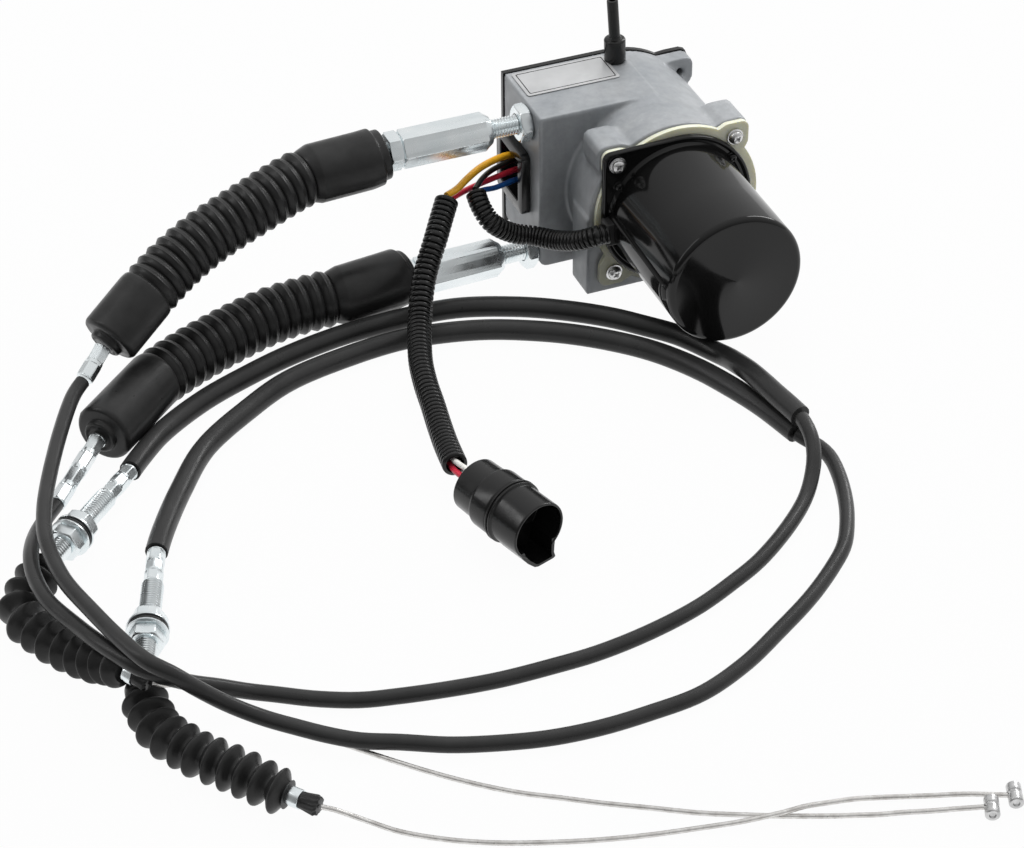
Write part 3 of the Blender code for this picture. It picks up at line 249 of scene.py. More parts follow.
cast = finish("cast_aluminium", grey(0.42, 0.05), 0.5, 0.2, sheen=((0.006, 4), 0.34, 0.52),
              bumps=[((0.0016, 5, 0.6), 0.16, 0.0002), ((0.012, 2), 0.15, 0.0006)])
broad = cast.tones((0.035, 3), (0.3, grey(0.29, 0.06)), (0.7, grey(0.41, 0.03)))
fine = cast.tones((0.003, 6, 0.65), (0.3, grey(0.84)), (0.75, grey(1.0)))
streaks = cast.tones((0.004, 5, 0.6, (1, 1, 0.25)), (0.35, grey(0.86)), (0.6, grey(1.0)))
cast.paint(cast.multiply(cast.multiply(broad, fine), streaks, 0.6))
finish("bright_zinc", (0.72, 0.76, 0.78), 0.28, 1.0,
       tones=((0.014, 3), (0.3, (0.8, 0.86, 0.88)), (0.7, (0.91, 0.95, 0.96))),
       sheen=((0.008, 3), 0.22, 0.34))
finish("steel", grey(0.62), 0.3, 1.0,
       tones=((0.003, 4), (0.3, grey(0.5)), (0.7, grey(0.74))), sheen=((0.0015, 4), 0.2, 0.4))
finish("wire_steel", grey(0.5), 0.34, 1.0,
       tones=((0.004, 5), (0.3, (0.58, 0.56, 0.54)), (0.7, (0.84, 0.83, 0.81))),
       sheen=((0.001, 4), 0.26, 0.45))
finish("gloss_black_paint", grey(0.006), 0.1, sheen=((0.02, 3), 0.07, 0.13), Specular_IOR_Level=0.32)
finish("black_plastic", grey(0.007), 0.25, sheen=((0.004, 5), 0.16, 0.28), Specular_IOR_Level=0.4)
finish("black_rubber", grey(0.01), 0.36, tones=((0.012, 5), (0.3, grey(0.012)), (0.75, grey(0.024))),
       sheen=((0.005, 5, 0.65), 0.27, 0.42), bumps=[((0.0012, 5, 0.7), 0.1, 0.0001)], Specular_IOR_Level=0.3)
finish("cable_jacket", grey(0.01), 0.33, tones=((0.02, 3), (0.3, grey(0.022)), (0.7, grey(0.032))),
       sheen=((0.008, 5), 0.26, 0.38), bumps=[((0.0012, 3), 0.04, 0.0001)], Specular_IOR_Level=0.26)
finish("cream_nylon", (0.72, 0.7, 0.5), 0.38,
       tones=((0.012, 5, 0.6), (0.28, (0.58, 0.58, 0.44)), (0.72, (0.76, 0.76, 0.62))),
       sheen=((0.006, 4), 0.3, 0.5), bumps=[((0.002, 4), 0.1, 0.0002)],
       Subsurface_Weight=0.35, Subsurface_Scale=0.004, Subsurface_Radius=(1.0, 0.85, 0.45))
finish("bare_plate", grey(0.72), 0.35, 0.2,
       tones=((0.01, 4), (0.3, grey(0.4, 0.01)), (0.7, grey(0.47, 0.01))),
       bumps=[((0.0008, 4), 0.08, 0.00005)])
finish("magnet", grey(0.07), 0.6, bumps=[((0.001, 4), 0.3, 0.0002)])
finish("gear_nylon", (0.8, 0.8, 0.74), 0.45, bumps=[((0.002, 4), 0.08, 0.0001)],
       Subsurface_Weight=0.2, Subsurface_Scale=0.003)
SHADE = 0.82
for slot, colour in (("yellow_wire", (0.86, 0.43, 0.02)), ("red_wire", (0.7, 0.035, 0.07)),
                     ("blue_wire", (0.02, 0.12, 0.42)), ("black_wire", (0.015, 0.015, 0.015)),
                     ("white_wire", (0.85, 0.84, 0.8))):
    shade = tuple(part * SHADE for part in colour)
    finish(slot, colour, 0.3, tones=((0.004, 3), (0.35, shade), (0.65, colour)),
           bumps=[((0.001, 3), 0.06, 0.0001)])
for row in frame["record"]["subparts"]:
    node = frame["nodes"][row["node"]]
    node.data.materials.clear()
    node.data.materials.append(LOOKS[row["material_slot"]])


# Building
def piece(obj, slot, *stands_for):
    """Gives the piece its finish, hides the nodes it stands for, and lets it move with the unit."""
    obj.data.materials.clear()
    obj.data.materials.append(LOOKS[slot])
    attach(obj, UNIT)
    if stands_for:
        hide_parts(*stands_for)
    return obj


def placed(name, data):
    obj = bpy.data.objects.new(name, data)
    bpy.context.scene.collection.objects.link(obj)
    return obj


def crisp(obj, sharp):
    """Shades the body smooth, but for edges past this angle."""
    for face in obj.data.polygons:
        face.use_smooth = True
    obj.data.set_sharp_from_angle(angle=math.radians(sharp))
    return obj


def lofted(name, rings, sharp=38, closed=False):
    """A body through rings of places. A closed one has no ends, the others get flat caps."""
    work = bmesh.new()
    rings = [[work.verts.new(spot) for spot in ring] for ring in rings]
    pairs = list(zip(rings, rings[1:]))
    if closed:
        pairs.append((rings[-1], rings[0]))
    for one, two in pairs:
        for k in range(len(one)):
            after = (k + 1) % len(one)
            work.faces.new((one[k], two[k], two[after], one[after]))
    if not closed:
        work.faces.new(rings[0])
        work.faces.new(rings[-1])
    bmesh.ops.recalc_face_normals(work, faces=work.faces)
    mesh = bpy.data.meshes.new(name)
    work.to_mesh(mesh)
    work.free()
    return crisp(placed(name, mesh), sharp)


FINE = 16  # places worked out between two points of a route


def smooth(route, step):
    """Points at even spacing on a smooth curve through the route."""
    spots = [Vector(p) for p in route]
    padded = [spots[0] * 2 - spots[1]] + spots + [spots[-1] * 2 - spots[-2]]
    fine = []
    for a, b, c, d in zip(padded, padded[1:], padded[2:], padded[3:]):
        t1 = (b - a).length ** 0.5
        t2 = t1 + (c - b).length ** 0.5
        t3 = t2 + (d - c).length ** 0.5
        for k in range(FINE):
            t = t1 + (t2 - t1) * k / FINE
            a1 = a.lerp(b, t / t1)
            a2 = b.lerp(c, (t - t1) / (t2 - t1))
            a3 = c.lerp(d, (t - t2) / (t3 - t2))
            b1 = a1.lerp(a2, t / t2)
            b2 = a2.lerp(a3, (t - t1) / (t3 - t1))
            fine.append(b1.lerp(b2, (t - t1) / (t2 - t1)))
    fine.append(spots[-1])
    lengths = [0.0]
    for one, two in zip(fine, fine[1:]):
        lengths.append(lengths[-1] + (two - one).length)
    count = max(3, round(lengths[-1] / step) + 1)
    found, k = [], 0
    for n in range(count):
        wanted = lengths[-1] * n / (count - 1)
        while k < len(fine) - 2 and lengths[k + 1] < wanted:
            k += 1
        part = (wanted - lengths[k]) / max(lengths[k + 1] - lengths[k], 1e-12)
        found.append(fine[k].lerp(fine[k + 1], min(max(part, 0.0), 1.0)))
    return found


def length_of(spots):
    return sum((two - one).length for one, two in zip(spots, spots[1:]))


def side_of(along):
    """A level direction across this one."""
    side = along.cross(Vector((0, 0, 1)))
    return side.normalized() if side.length > 1e-4 else Vector((1, 0, 0))


def frame_of(direction):
    along = Vector(direction).normalized()
    side = side_of(along)
    return side, side.cross(along).normalized(), along


class Track:
    """A smooth route with a frame at every distance that doesn't twist along the way."""

    def __init__(self, route, step=0.0005):
        self.spots = smooth(route, step)
        self.length = length_of(self.spots)
        last = len(self.spots) - 1
        self.ahead = [(self.spots[min(k + 1, last)] - self.spots[max(k - 1, 0)]).normalized()
                      for k in range(last + 1)]
        side = side_of(self.ahead[0])
        self.sides = []
        for along in self.ahead:
            side = (side - along * side.dot(along)).normalized()
            self.sides.append(side.copy())

    def at(self, distance):
        place = min(max(distance / self.length, 0.0), 1.0) * (len(self.spots) - 1)
        k = min(int(place), len(self.spots) - 2)
        part = place - k
        along = self.ahead[k].lerp(self.ahead[k + 1], part).normalized()
        side = self.sides[k].lerp(self.sides[k + 1], part)
        side = (side - along * side.dot(along)).normalized()
        return self.spots[k].lerp(self.spots[k + 1], part), side, side.cross(along), along


def angles(sides):
    return [2 * math.pi * k / sides for k in range(sides)]


def sweep(name, track, stations, sides, shape=None, sharp=38, closed=False):
    """A skin round the track through (distance, radius) stations. shape(angle, distance) scales the radius.

    A closed one comes back inside itself and joins its first ring: an open pipe.
    """
    rings = []
    for distance, radius in stations:
        spot, side, up, along = track.at(distance)
        ring = []
        for angle in angles(sides):
            reach = radius * (shape(angle, distance) if shape else 1.0)
            ring.append(spot + (side * math.cos(angle) + up * math.sin(angle)) * reach)
        rings.append(ring)
    return lofted(name, rings, sharp, closed)


def hex_reach(across, angle):
    """From the middle of a hexagon to its edge, with two flats level."""
    turn = math.degrees(angle) % 60 - 30
    return across / 2 / math.cos(math.radians(turn))


ON_AXIS = 1e-7


def turned(name, profile, origin, direction, sides=72, sharp=32):
    """A body of revolution: (radius, distance) points, from the axis round to the axis or as a closed ring.

    A third number makes the section a hexagon of that width across flats, no farther out than the radius.
    """
    side, up, along = frame_of(direction)
    rings = []
    for radius, distance, *across in profile:
        if radius < ON_AXIS:
            continue
        ring = []
        for angle in angles(sides):
            reach = min(radius, hex_reach(across[0], angle)) if across else radius
            out = side * math.cos(angle) + up * math.sin(angle)
            ring.append(Vector(origin) + along * distance + out * reach)
        rings.append(ring)
    return lofted(name, rings, sharp, closed=profile[0][0] > ON_AXIS)


def rounded(points, radius, steps=3):
    """The same line with its inner corners rounded off. Points may carry a third number."""
    line = [points[0]]
    for before, here, after in zip(points, points[1:], points[2:]):
        to_before = Vector((before[0] - here[0], before[1] - here[1]))
        to_after = Vector((after[0] - here[0], after[1] - here[1]))
        reach = min(radius, to_before.length * 0.45, to_after.length * 0.45)
        corner = Vector(here[:2])
        start = corner + to_before.normalized() * reach
        end = corner + to_after.normalized() * reach
        for k in range(steps + 1):
            part = k / steps
            spot = start.lerp(corner, part).lerp(corner.lerp(end, part), part)
            line.append((spot.x, spot.y, *here[2:]))
    line.append(points[-1])
    return line


def soften(obj, width, angle=28, segments=2):
    """Rounds the edges a little, as on the real thing."""
    step = obj.modifiers.new("edges", "BEVEL")
    step.width = width
    step.segments = segments
    step.limit_method = "ANGLE"
    step.angle_limit = math.radians(angle)
    return obj


def outline_body(name, outline, front, back, bevel=0.0):
    """An outline in X and Z, from the front y to the back y."""
    obj = lofted(name, [[(x, y, z) for x, z in outline] for y in (front, back)], 30)
    return soften(obj, bevel, 40, 3) if bevel else obj


def arc(x, z, radius, start, end, steps):
    points = []
    for k in range(steps + 1):
        angle = math.radians(start + (end - start) * k / steps)
        points.append((x + radius * math.cos(angle), z + radius * math.sin(angle)))
    return points


def squared(x, z, reach, corner=0.004):
    """The points of a square lug with round corners, about a screw."""
    points = []
    for dx in (-1, 1):
        for dz in (-1, 1):
            points += arc(x + dx * (reach - corner), z + dz * (reach - corner), corner, 0, 345, 23)
    return points


def round_box(low, high, corner, steps=6):
    """Points round a rectangle with round corners, from one corner (a, b) to the other."""
    points = []
    for a, b, start in ((high[0] - corner, high[1] - corner, 0), (low[0] + corner, high[1] - corner, 90),
                        (low[0] + corner, low[1] + corner, 180), (high[0] - corner, low[1] + corner, 270)):
        points += arc(a, b, corner, start, start + 90, steps)
    return points


def hull(points):
    """The convex outline round the points, counterclockwise."""
    points = sorted(set(points))
    chains = []
    for run in (points, points[::-1]):
        chain = []
        for p in run:
            while len(chain) > 1:
                (ax, az), (bx, bz) = chain[-2], chain[-1]
                if (bx - ax) * (p[1] - az) - (bz - az) * (p[0] - ax) > 1e-12:
                    break
                chain.pop()
            chain.append(p)
        chains.append(chain[:-1])
    return chains[0] + chains[1]


def settle(obj):
    """Applies the modifiers for good."""
    bpy.context.view_layer.update()
    graph = bpy.context.evaluated_depsgraph_get()
    mesh = bpy.data.meshes.new_from_object(obj.evaluated_get(graph))
    obj.modifiers.clear()
    obj.data = mesh


def carve(obj, cutter, operation="DIFFERENCE"):
    """Cuts the cutter out of the body, or joins it on, and removes the cutter."""
    step = obj.modifiers.new("carve", "BOOLEAN")
    step.object = cutter
    step.operation = operation
    step.solver = "EXACT"
    settle(obj)
    bpy.data.objects.remove(cutter, do_unlink=True)


def keep_above(obj, lowest):
    """Flattens what lies lower than this."""
    for vertex in obj.data.vertices:
        vertex.co.z = max(vertex.co.z, lowest)


def node_copy(name, node, flatten=False):
    """The node's shape as a body of its own, split vertices joined and, if asked, flat faces merged."""
    mesh = frame["nodes"][node].data.copy()
    work = bmesh.new()
    work.from_mesh(mesh)
    bmesh.ops.remove_doubles(work, verts=work.verts, dist=1e-6)
    if flatten:
        bmesh.ops.dissolve_limit(work, angle_limit=math.radians(1.0), verts=work.verts, edges=work.edges)
    work.to_mesh(mesh)
    work.free()
    return placed(name, mesh)


def recast(name, node, voxel, rounds, front, more):
    """The node's shape with its edges rounded off as on a casting: an even skin, relaxed a little.

    What lies before the front y is drawn out by that much more.
    """
    obj = node_copy(name, node)
    for vertex in obj.data.vertices:
        if vertex.co.y < front:
            vertex.co.y -= more
    skin = obj.modifiers.new("skin", "REMESH")
    skin.mode = "VOXEL"
    skin.voxel_size = voxel
    skin.use_smooth_shade = True
    relax = obj.modifiers.new("relax", "SMOOTH")
    relax.factor = 0.5
    relax.iterations = rounds
    settle(obj)
    return obj


# Gear housing: its front flange is thicker than the model's and the spacer thinner, in the same room
FLANGE_Y, FLANGE_MORE = -0.0079, 0.0031
SKIN_VOXEL = 0.00088
housing = recast("housing_skin", "gear_housing", SKIN_VOXEL, 2, FLANGE_Y, FLANGE_MORE)
piece(housing, "cast_aluminium", "gear_housing")
rear_cover = crisp(node_copy("rear_cover_edged", "rear_cover", flatten=True), 30)
piece(soften(rear_cover, 0.0006, 40, 3), "black_plastic", "rear_cover")

# Spacer: a disc with four ears
SPACER_BACK, SPACER_FRONT = -0.0113, -0.0138
SPACER_R, BORE_R = 0.043, 0.02
SCREW_SQUARE = 0.0315
disc = arc(0.0016, AXIS_Z - 0.0004, SPACER_R, 0, 357, 119)
spacer = outline_body("spacer_body", disc, SPACER_BACK, SPACER_FRONT)
for x in (-SCREW_SQUARE, SCREW_SQUARE):
    for z in (-SCREW_SQUARE, SCREW_SQUARE):
        root = [(x * 0.6, AXIS_Z + z * 1.1), (x * 1.1, AXIS_Z + z * 0.6)]
        ear = hull(squared(x, AXIS_Z + z, 0.0064 if x < 0 < z else 0.0075) + root)
        carve(spacer, outline_body("spacer_ear", ear, SPACER_BACK, SPACER_FRONT), "UNION")
carve(spacer, outline_body("spacer_bore", arc(0, AXIS_Z, BORE_R, 0, 354, 59), -0.009, -0.015))
keep_above(spacer, 0.0003)
piece(soften(crisp(spacer, 30), 0.0007, 40, 3), "cream_nylon", "spacer_flange")

# Label plate, left bare, with a thin frame line
TOP_Z = 0.0883


def plate_rings(corner, levels):
    rings = []
    for rise, inset in levels:
        outline = round_box((-0.0551 + inset, 0.0388 + inset), (-0.006 - inset, 0.0615 - inset), corner)
        rings.append([(x, y, TOP_Z + rise) for x, y in outline])
    return rings


plate = plate_rings(0.0016, ((0.0, 0.0), (0.0002, 0.0), (0.0003, 0.0002)))
piece(lofted("label_plate_body", plate, 30), "bare_plate", "label_plate")
line = plate_rings(0.0006, ((0.0002, 0.0016), (0.00033, 0.0016), (0.00033, 0.0021), (0.0002, 0.0021)))
piece(lofted("label_plate_line", line, 30, closed=True), "black_plastic")

# Port: a rounded rim round a deep pocket
rings = []
for out, low_y, high_y, low_z, high_z, corner in (
    (-0.0043, 0.0338, 0.0582, 0.0313, 0.0562, 0.001), (0.0003, 0.0338, 0.0582, 0.0313, 0.0562, 0.001),
    (0.0003, 0.029, 0.063, 0.026, 0.061, 0.0036), (0.0038, 0.029, 0.063, 0.026, 0.061, 0.0036),
    (0.0044, 0.0292, 0.0628, 0.0262, 0.0608, 0.0034), (0.0047, 0.0298, 0.0622, 0.0268, 0.0602, 0.0028),
    (0.0047, 0.0341, 0.0579, 0.0316, 0.0559, 0.0014), (0.0043, 0.0347, 0.0573, 0.0322, 0.0553, 0.0009),
    (-0.0022, 0.035, 0.057, 0.0325, 0.055, 0.0006),
):
    outline = round_box((low_y, low_z), (high_y, high_z), corner)
    rings.append([(BOX_LEFT - out, y, z) for y, z in outline])
piece(lofted("port_body", rings, 32), "black_plastic", "port_seal")

# Vent cap with its narrow tube
cap_line = rounded([(0, 0), (0.0054, 0), (0.0054, 0.0118), (0.0044, 0.0126), (0.0032, 0.0128),
                    (0.0032, 0.0138), (0, 0.0138)], 0.0007)
piece(turned("vent_cap_body", cap_line, (-0.002, 0.055, TOP_Z), (-0.03, 0, 1)), "black_plastic", "vent_cap")
tube_line = [(0.0015, 0.006), (0.0028, 0.0), (0.0028, 0.0228), (0.0026, 0.0235), (0.0017, 0.0235),
             (0.0015, 0.0232)]
piece(turned("vent_tube", tube_line, (-0.0023, 0.055, 0.0994), (-0.08, -0.02, 1), 48), "black_rubber")

# Screws: pan head with a cross recess on a washer
PAN_LINE = rounded([(0, 0.0042), (0.0022, 0.0042), (0.0036, 0.0033), (0.0041, 0.002), (0.0041, 0.001),
                    (0.0052, 0.001), (0.0052, 0), (0, 0)], 0.0004)
CROSS = ((-0.0024, 0.005, 0.00055), (0.0024, 0.005, 0.00055), (0.0014, 0.0021, 0.00035),
         (-0.0014, 0.0021, 0.00035))  # along an arm, up, half its width
CROSS_TURN = math.radians(35)


def pan_screw(name, seat, direction, size, slot, *node):
    line = [(radius * size, distance * size) for radius, distance in PAN_LINE]
    head = turned(name, line, seat, direction, 48)
    side, up, along = frame_of(direction)
    turn = Matrix.Rotation(CROSS_TURN, 3, along)
    for arm in (turn @ side, turn @ up):
        across = along.cross(arm)
        faces = []
        for edge in (-1, 1):
            faces.append([seat + (arm * far + across * edge * half + along * rise) * size
                          for far, rise, half in CROSS])
        carve(head, lofted("cross", faces))
    piece(head, slot, *node)


FRONT_HEAD, BACK_HEAD = 0.0042, 0.0025  # how far the model's heads stand out
for name, node, toward, size in (("pan_screw", "flange_screw", -1, 0.83),
                                 ("back_screw", "cover_screw", 1, 0.7)):
    for k in range(1, 5):
        low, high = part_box(f"{node}_{k}")
        y = low.y + FRONT_HEAD if toward < 0 else high.y - BACK_HEAD
        seat = Vector(((low.x + high.x) / 2, y, (low.z + high.z) / 2))
        pan_screw(f"{name}_{k}", seat, (0, toward, 0), size, "steel", f"{node}_{k}")

# Motor: a drawn can on a flange
CAN_R, CAN_END, CAN_EDGE = 0.0345, -0.086, 0.0032
PLATE_FRONT, PLATE_BACK, PLATE_R = -0.016, -0.0141, 0.0395
can_line = [(0, 0), (0.0008, -0.00025), (0.0014, 0.0)]
can_line += arc(CAN_R - CAN_EDGE, CAN_EDGE, CAN_EDGE, -90, 0, 8)
can_line += [(CAN_R, 0.03), (CAN_R, 0.0668), (CAN_R + 0.0004, 0.0684), (CAN_R + 0.0016, 0.0696),
             (CAN_R + 0.0016, 0.0712), (CAN_R - 0.0015, 0.0712), (CAN_R - 0.0015, 0.004), (0, 0.004)]
can = turned("can_shell", can_line, (0, CAN_END, AXIS_Z), (0, 1, 0), 180, 40)
piece(can, "gloss_black_paint", "motor_can")
plate_outline = hull(arc(0.0005, AXIS_Z, PLATE_R, 0, 357, 119)
                     + squared(-SCREW_SQUARE, AXIS_Z + SCREW_SQUARE, 0.0072)
                     + squared(SCREW_SQUARE, AXIS_Z - SCREW_SQUARE, 0.0072))
piece(outline_body("can_flange", plate_outline, PLATE_FRONT, PLATE_BACK, 0.0007), "gloss_black_paint")

# The flange's rolled edge stands up all round
middle = Vector((0, AXIS_Z))
rings = []
for inset, rise in ((0.0, 0.0), (0.0, 0.0009), (0.0004, 0.0014), (0.0011, 0.0015), (0.0018, 0.001),
                    (0.0023, 0.0002), (0.0025, 0.0)):
    ring = []
    for x, z in plate_outline:
        out = Vector((x, z)) - middle
        spot = middle + out * (1 - inset / out.length)
        ring.append((spot.x, PLATE_FRONT - rise, spot.y))
    rings.append(ring)
piece(lofted("can_flange_edge", rings, 60, closed=True), "gloss_black_paint")

# A raised channel along the left of the can leads to the grommet
LEAD_TURN, LEAD_RISE = math.radians(182), 0.0017
LEAD_SECTION = ((-1.0, -0.4), (-1.0, 0.7), (-0.93, 0.98), (-0.5, 1.02), (0.0, 1.05), (0.5, 1.02),
                (0.93, 0.98), (1.0, 0.7), (1.0, -0.4))
lead_out = Vector((math.cos(LEAD_TURN), 0, math.sin(LEAD_TURN)))
lead_across = Vector((-lead_out.z, 0, lead_out.x))
rings = []
for y, half, share in ((-0.0815, 0.003, 0.0), (-0.0805, 0.0038, 0.5), (-0.079, 0.0044, 0.85),
                       (-0.0765, 0.0047, 1.0), (-0.055, 0.0053, 1.0), (-0.03, 0.0062, 1.0),
                       (-0.0165, 0.007, 1.15)):
    ring = []
    for across, rise in LEAD_SECTION:
        rise *= LEAD_RISE if rise < 0 else share * LEAD_RISE
        level = math.sqrt(CAN_R ** 2 - (across * half) ** 2) + rise
        ring.append(Vector((0, y, AXIS_Z)) + lead_out * level + lead_across * across * half)
    rings.append(ring)
piece(soften(lofted("lead_channel", rings, 30), 0.0003, 40), "gloss_black_paint")
gate = hull(squared(-0.0362, 0.044, 0.0036, 0.0012) + squared(-0.0362, 0.039, 0.0036, 0.0012))
piece(outline_body("lead_gate", gate, -0.0163, -0.0242, 0.0006), "black_rubber", "lead_grommet")

# Two small blackened screws hold the can to its flange
HOLD_R = 0.0362
for k, turn in enumerate((148, 36)):
    angle = math.radians(turn)
    spot = Vector((HOLD_R * math.cos(angle), PLATE_FRONT, AXIS_Z + HOLD_R * math.sin(angle)))
    pan_screw(f"black_screw_{k + 1}", spot, (0, -1, 0), 0.55, "gloss_black_paint")

# Cable outlets: threaded rod, lock nut, coupling
THREAD_DEPTH, THREAD_FADE, PLAIN_CUT = 0.00085, 0.001, 0.0004
ROD_BORE = THREAD_R - PLAIN_CUT


def thread(name, start, direction, first, last, *node):
    """A screw thread between two distances along the axis, with plain ends."""
    side, up, along = frame_of(direction)
    count = round((last - first) / (PITCH / 8))
    rings = []
    for n in range(count + 1):
        distance = first + (last - first) * n / count
        fade = min(1.0, (distance - first) / THREAD_FADE, (last - distance) / THREAD_FADE)
        ring = []
        for angle in angles(36):
            phase = (distance / PITCH - angle / (2 * math.pi)) % 1.0
            depth = THREAD_DEPTH * (1 - abs(phase * 2 - 1) ** 1.3)
            reach = THREAD_R - PLAIN_CUT * (1 - fade) - depth * fade
            ring.append(start + along * distance + (side * math.cos(angle) + up * math.sin(angle)) * reach)
        rings.append(ring)
    piece(lofted(name, rings, 60), "bright_zinc", *node)


NUT_BORE, COUPLING_R = 0.0053, 0.0099
CHAMFER = 0.0011


def nut(name, origin, direction, start, thick, bore, across, *node):
    """A hexagon nut whose corners are cut back in a cone at both ends."""
    face_r, cone_r, full_r = across * 0.485, across * 0.485 + 0.0008, across * 0.6
    end = start + thick
    line = [(bore, start), (face_r, start, across), (cone_r, start + CHAMFER * 0.42, across),
            (full_r, start + CHAMFER, across), (full_r, end - CHAMFER, across),
            (cone_r, end - CHAMFER * 0.42, across), (face_r, end, across), (bore, end)]
    piece(soften(turned(name, line, origin, direction), 0.0002), "bright_zinc", *node)


for tag, (start, direction), seat in (("a", UPPER, 0.0003), ("b", LOWER, 0.001)):
    near, far, thin = COUPLINGS[tag]
    thread(f"adjuster_thread_{tag}", start, direction, -0.0034, far + thin + 0.0038, f"adjuster_rod_{tag}")
    nut(f"lock_nut_body_{tag}", start, direction, seat, 0.006, NUT_BORE, HEX, f"lock_nut_{tag}")
    end = far + 0.0005 + thin
    line = [(NUT_BORE, near), (0.007, near, HEX), (0.0074, near + 0.0006, HEX),
            (COUPLING_R, near + 0.0034, HEX), (COUPLING_R, far - 0.0008, HEX), (0.009, far - 0.0001, HEX),
            (0.0076, far), (0.0076, far + 0.0005), (0.0088, far + 0.0005, HEX),
            (COUPLING_R, far + 0.0011, HEX), (COUPLING_R, end - 0.0006, HEX), (0.009, end, HEX),
            (NUT_BORE, end)]
    coupling = turned(f"coupling_body_{tag}", line, start, direction)
    piece(soften(coupling, 0.00025), "bright_zinc", f"coupling_{tag}")

# Rubber boots: a lip, a cuff with a cone towards the ribs, rounded ribs, a second cuff with a collar
PARTING = 28.0
CONE = 0.0055
CUFF_1_R, CUFF_2_R, RIB_FOOT_R, RIB_RISE = 0.0146, 0.0141, 0.0118, 0.002
RIB = ((0.0, 0.0), (0.06, 0.28), (0.14, 0.6), (0.25, 0.84), (0.38, 0.97), (0.47, 1.0), (0.5, 1.13),
       (0.55, 1.15), (0.59, 1.02), (0.7, 0.9), (0.83, 0.66), (0.93, 0.32))


def boot(tag, cuff_1, cuff_2, ribs, lip):
    track = Track(ROUTES[f"boot_{tag}"])
    length = track.length
    first, last = length * cuff_1, length * (1 - cuff_2)
    stations = rounded([(0.0, 0.0108), (0.0, 0.0124), (lip, 0.0127), (lip + 0.0005, 0.0143),
                        (lip + 0.006, CUFF_1_R), (first - CONE, CUFF_1_R), (first - 0.0012, 0.0131),
                        (first, 0.0124)], 0.0007)
    pitch = (last - first) / ribs
    for k in range(ribs):
        for share, rise in RIB:
            stations.append((first + 0.0003 + pitch * (k + share), RIB_FOOT_R + RIB_RISE * rise))
    stations += rounded([(last + 0.0004, 0.0121), (last + 0.0014, 0.0138), (last + 0.004, CUFF_2_R),
                         (length - 0.0048, CUFF_2_R), (length - 0.0031, 0.0126), (length - 0.0029, 0.0082),
                         (length - 0.0006, 0.0078), (length, 0.007), (length, 0.0052)], 0.0009)
    stations.sort(key=lambda station: station[0])

    def parting(angle, distance):
        """A thin raised line along two sides of the cuffs."""
        turn = math.degrees(angle) % 180
        gap = min(abs(turn - PARTING), 180 - abs(turn - PARTING))
        on_cuff = lip + 0.001 < distance < first - 0.001 or last + 0.001 < distance < length - 0.003
        return 1.015 if gap < 2.0 and on_cuff else 1.0

    piece(sweep(f"boot_skin_{tag}", track, stations, 90, parting, 50), "black_rubber", f"boot_{tag}")


boot("a", cuff_1=0.24, cuff_2=0.2, ribs=16, lip=0.0038)
boot("b", cuff_1=0.21, cuff_2=0.27, ribs=15, lip=0.003)


# Crimped ferrules: the tube is pressed to a hexagon in a few places
def crimped(name, track, first, last, radius, presses, node):
    stations = [(first, radius * 0.93), (first + 0.0003, radius)]
    span = (last - first) / presses
    for k in range(presses):
        begin, end = first + span * (k + 0.12), first + span * (k + 0.88)
        for distance in (begin - 0.0003, begin, (begin + end) / 2, end, end + 0.0003):
            stations.append((distance, radius))
    stations += [(last - 0.0003, radius), (last, radius * 0.93)]

    def pressed(angle, distance):
        place = (distance - first) / span
        share, zone = place % 1.0, int(place)
        if 0.119 < share < 0.881:
            turn = (math.degrees(angle) + 30 * (zone % 2)) % 60 - 30
            return min(1.01, 0.9 / math.cos(math.radians(turn)))
        return 0.99

    piece(sweep(name, track, stations, 72, pressed, 14), "bright_zinc", node)


for tag, radius, presses in (("a", 0.0042, 2), ("b", 0.0041, 4)):
    track = Track(ROUTES[f"boot_ferrule_{tag}"])
    crimped(f"boot_ferrule_body_{tag}", track, 0.0, track.length, radius, presses, f"boot_ferrule_{tag}")


def washer_line(start, lean=0.0):
    end = start + 0.0012
    return rounded([(ROD_BORE, start), (WASHER_R - lean, start), (WASHER_R, end), (ROD_BORE, end)], 0.0002)


# Free ends: crimped ferrule, thread, nut, rubber ring between washers, nut
END_FERRULE, END_FERRULE_R = 0.0222, 0.0042
for tag, (start, end) in ENDS.items():
    along = (end - start).normalized()
    track = Track([start, start.lerp(end, 0.5), end])
    crimped(f"end_ferrule_{tag}", track, 0.0002, END_FERRULE, END_FERRULE_R, 3, f"end_fitting_{tag}")
    thread(f"end_thread_{tag}", start, along, END_FERRULE + 0.0002, (end - start).length)
    nut(f"end_nut_front_{tag}", start, along, 0.0446, 0.0066, ROD_BORE, END_HEX)
    piece(turned(f"washer_front_{tag}", washer_line(0.0515), start, along), "bright_zinc", f"end_nut_{tag}")
    ring = rounded([(ROD_BORE, 0.0528), (0.0072, 0.0528), (0.009, 0.0531), (0.009, 0.0547), (0.0072, 0.055),
                    (ROD_BORE, 0.055)], 0.0008)
    piece(turned(f"rubber_ring_{tag}", ring, start, along), "black_rubber")
    piece(turned(f"washer_back_{tag}", washer_line(0.0551, 0.0002), start, along), "bright_zinc")
    nut(f"end_nut_back_{tag}", start, along, 0.0564, 0.0068, ROD_BORE, END_HEX)

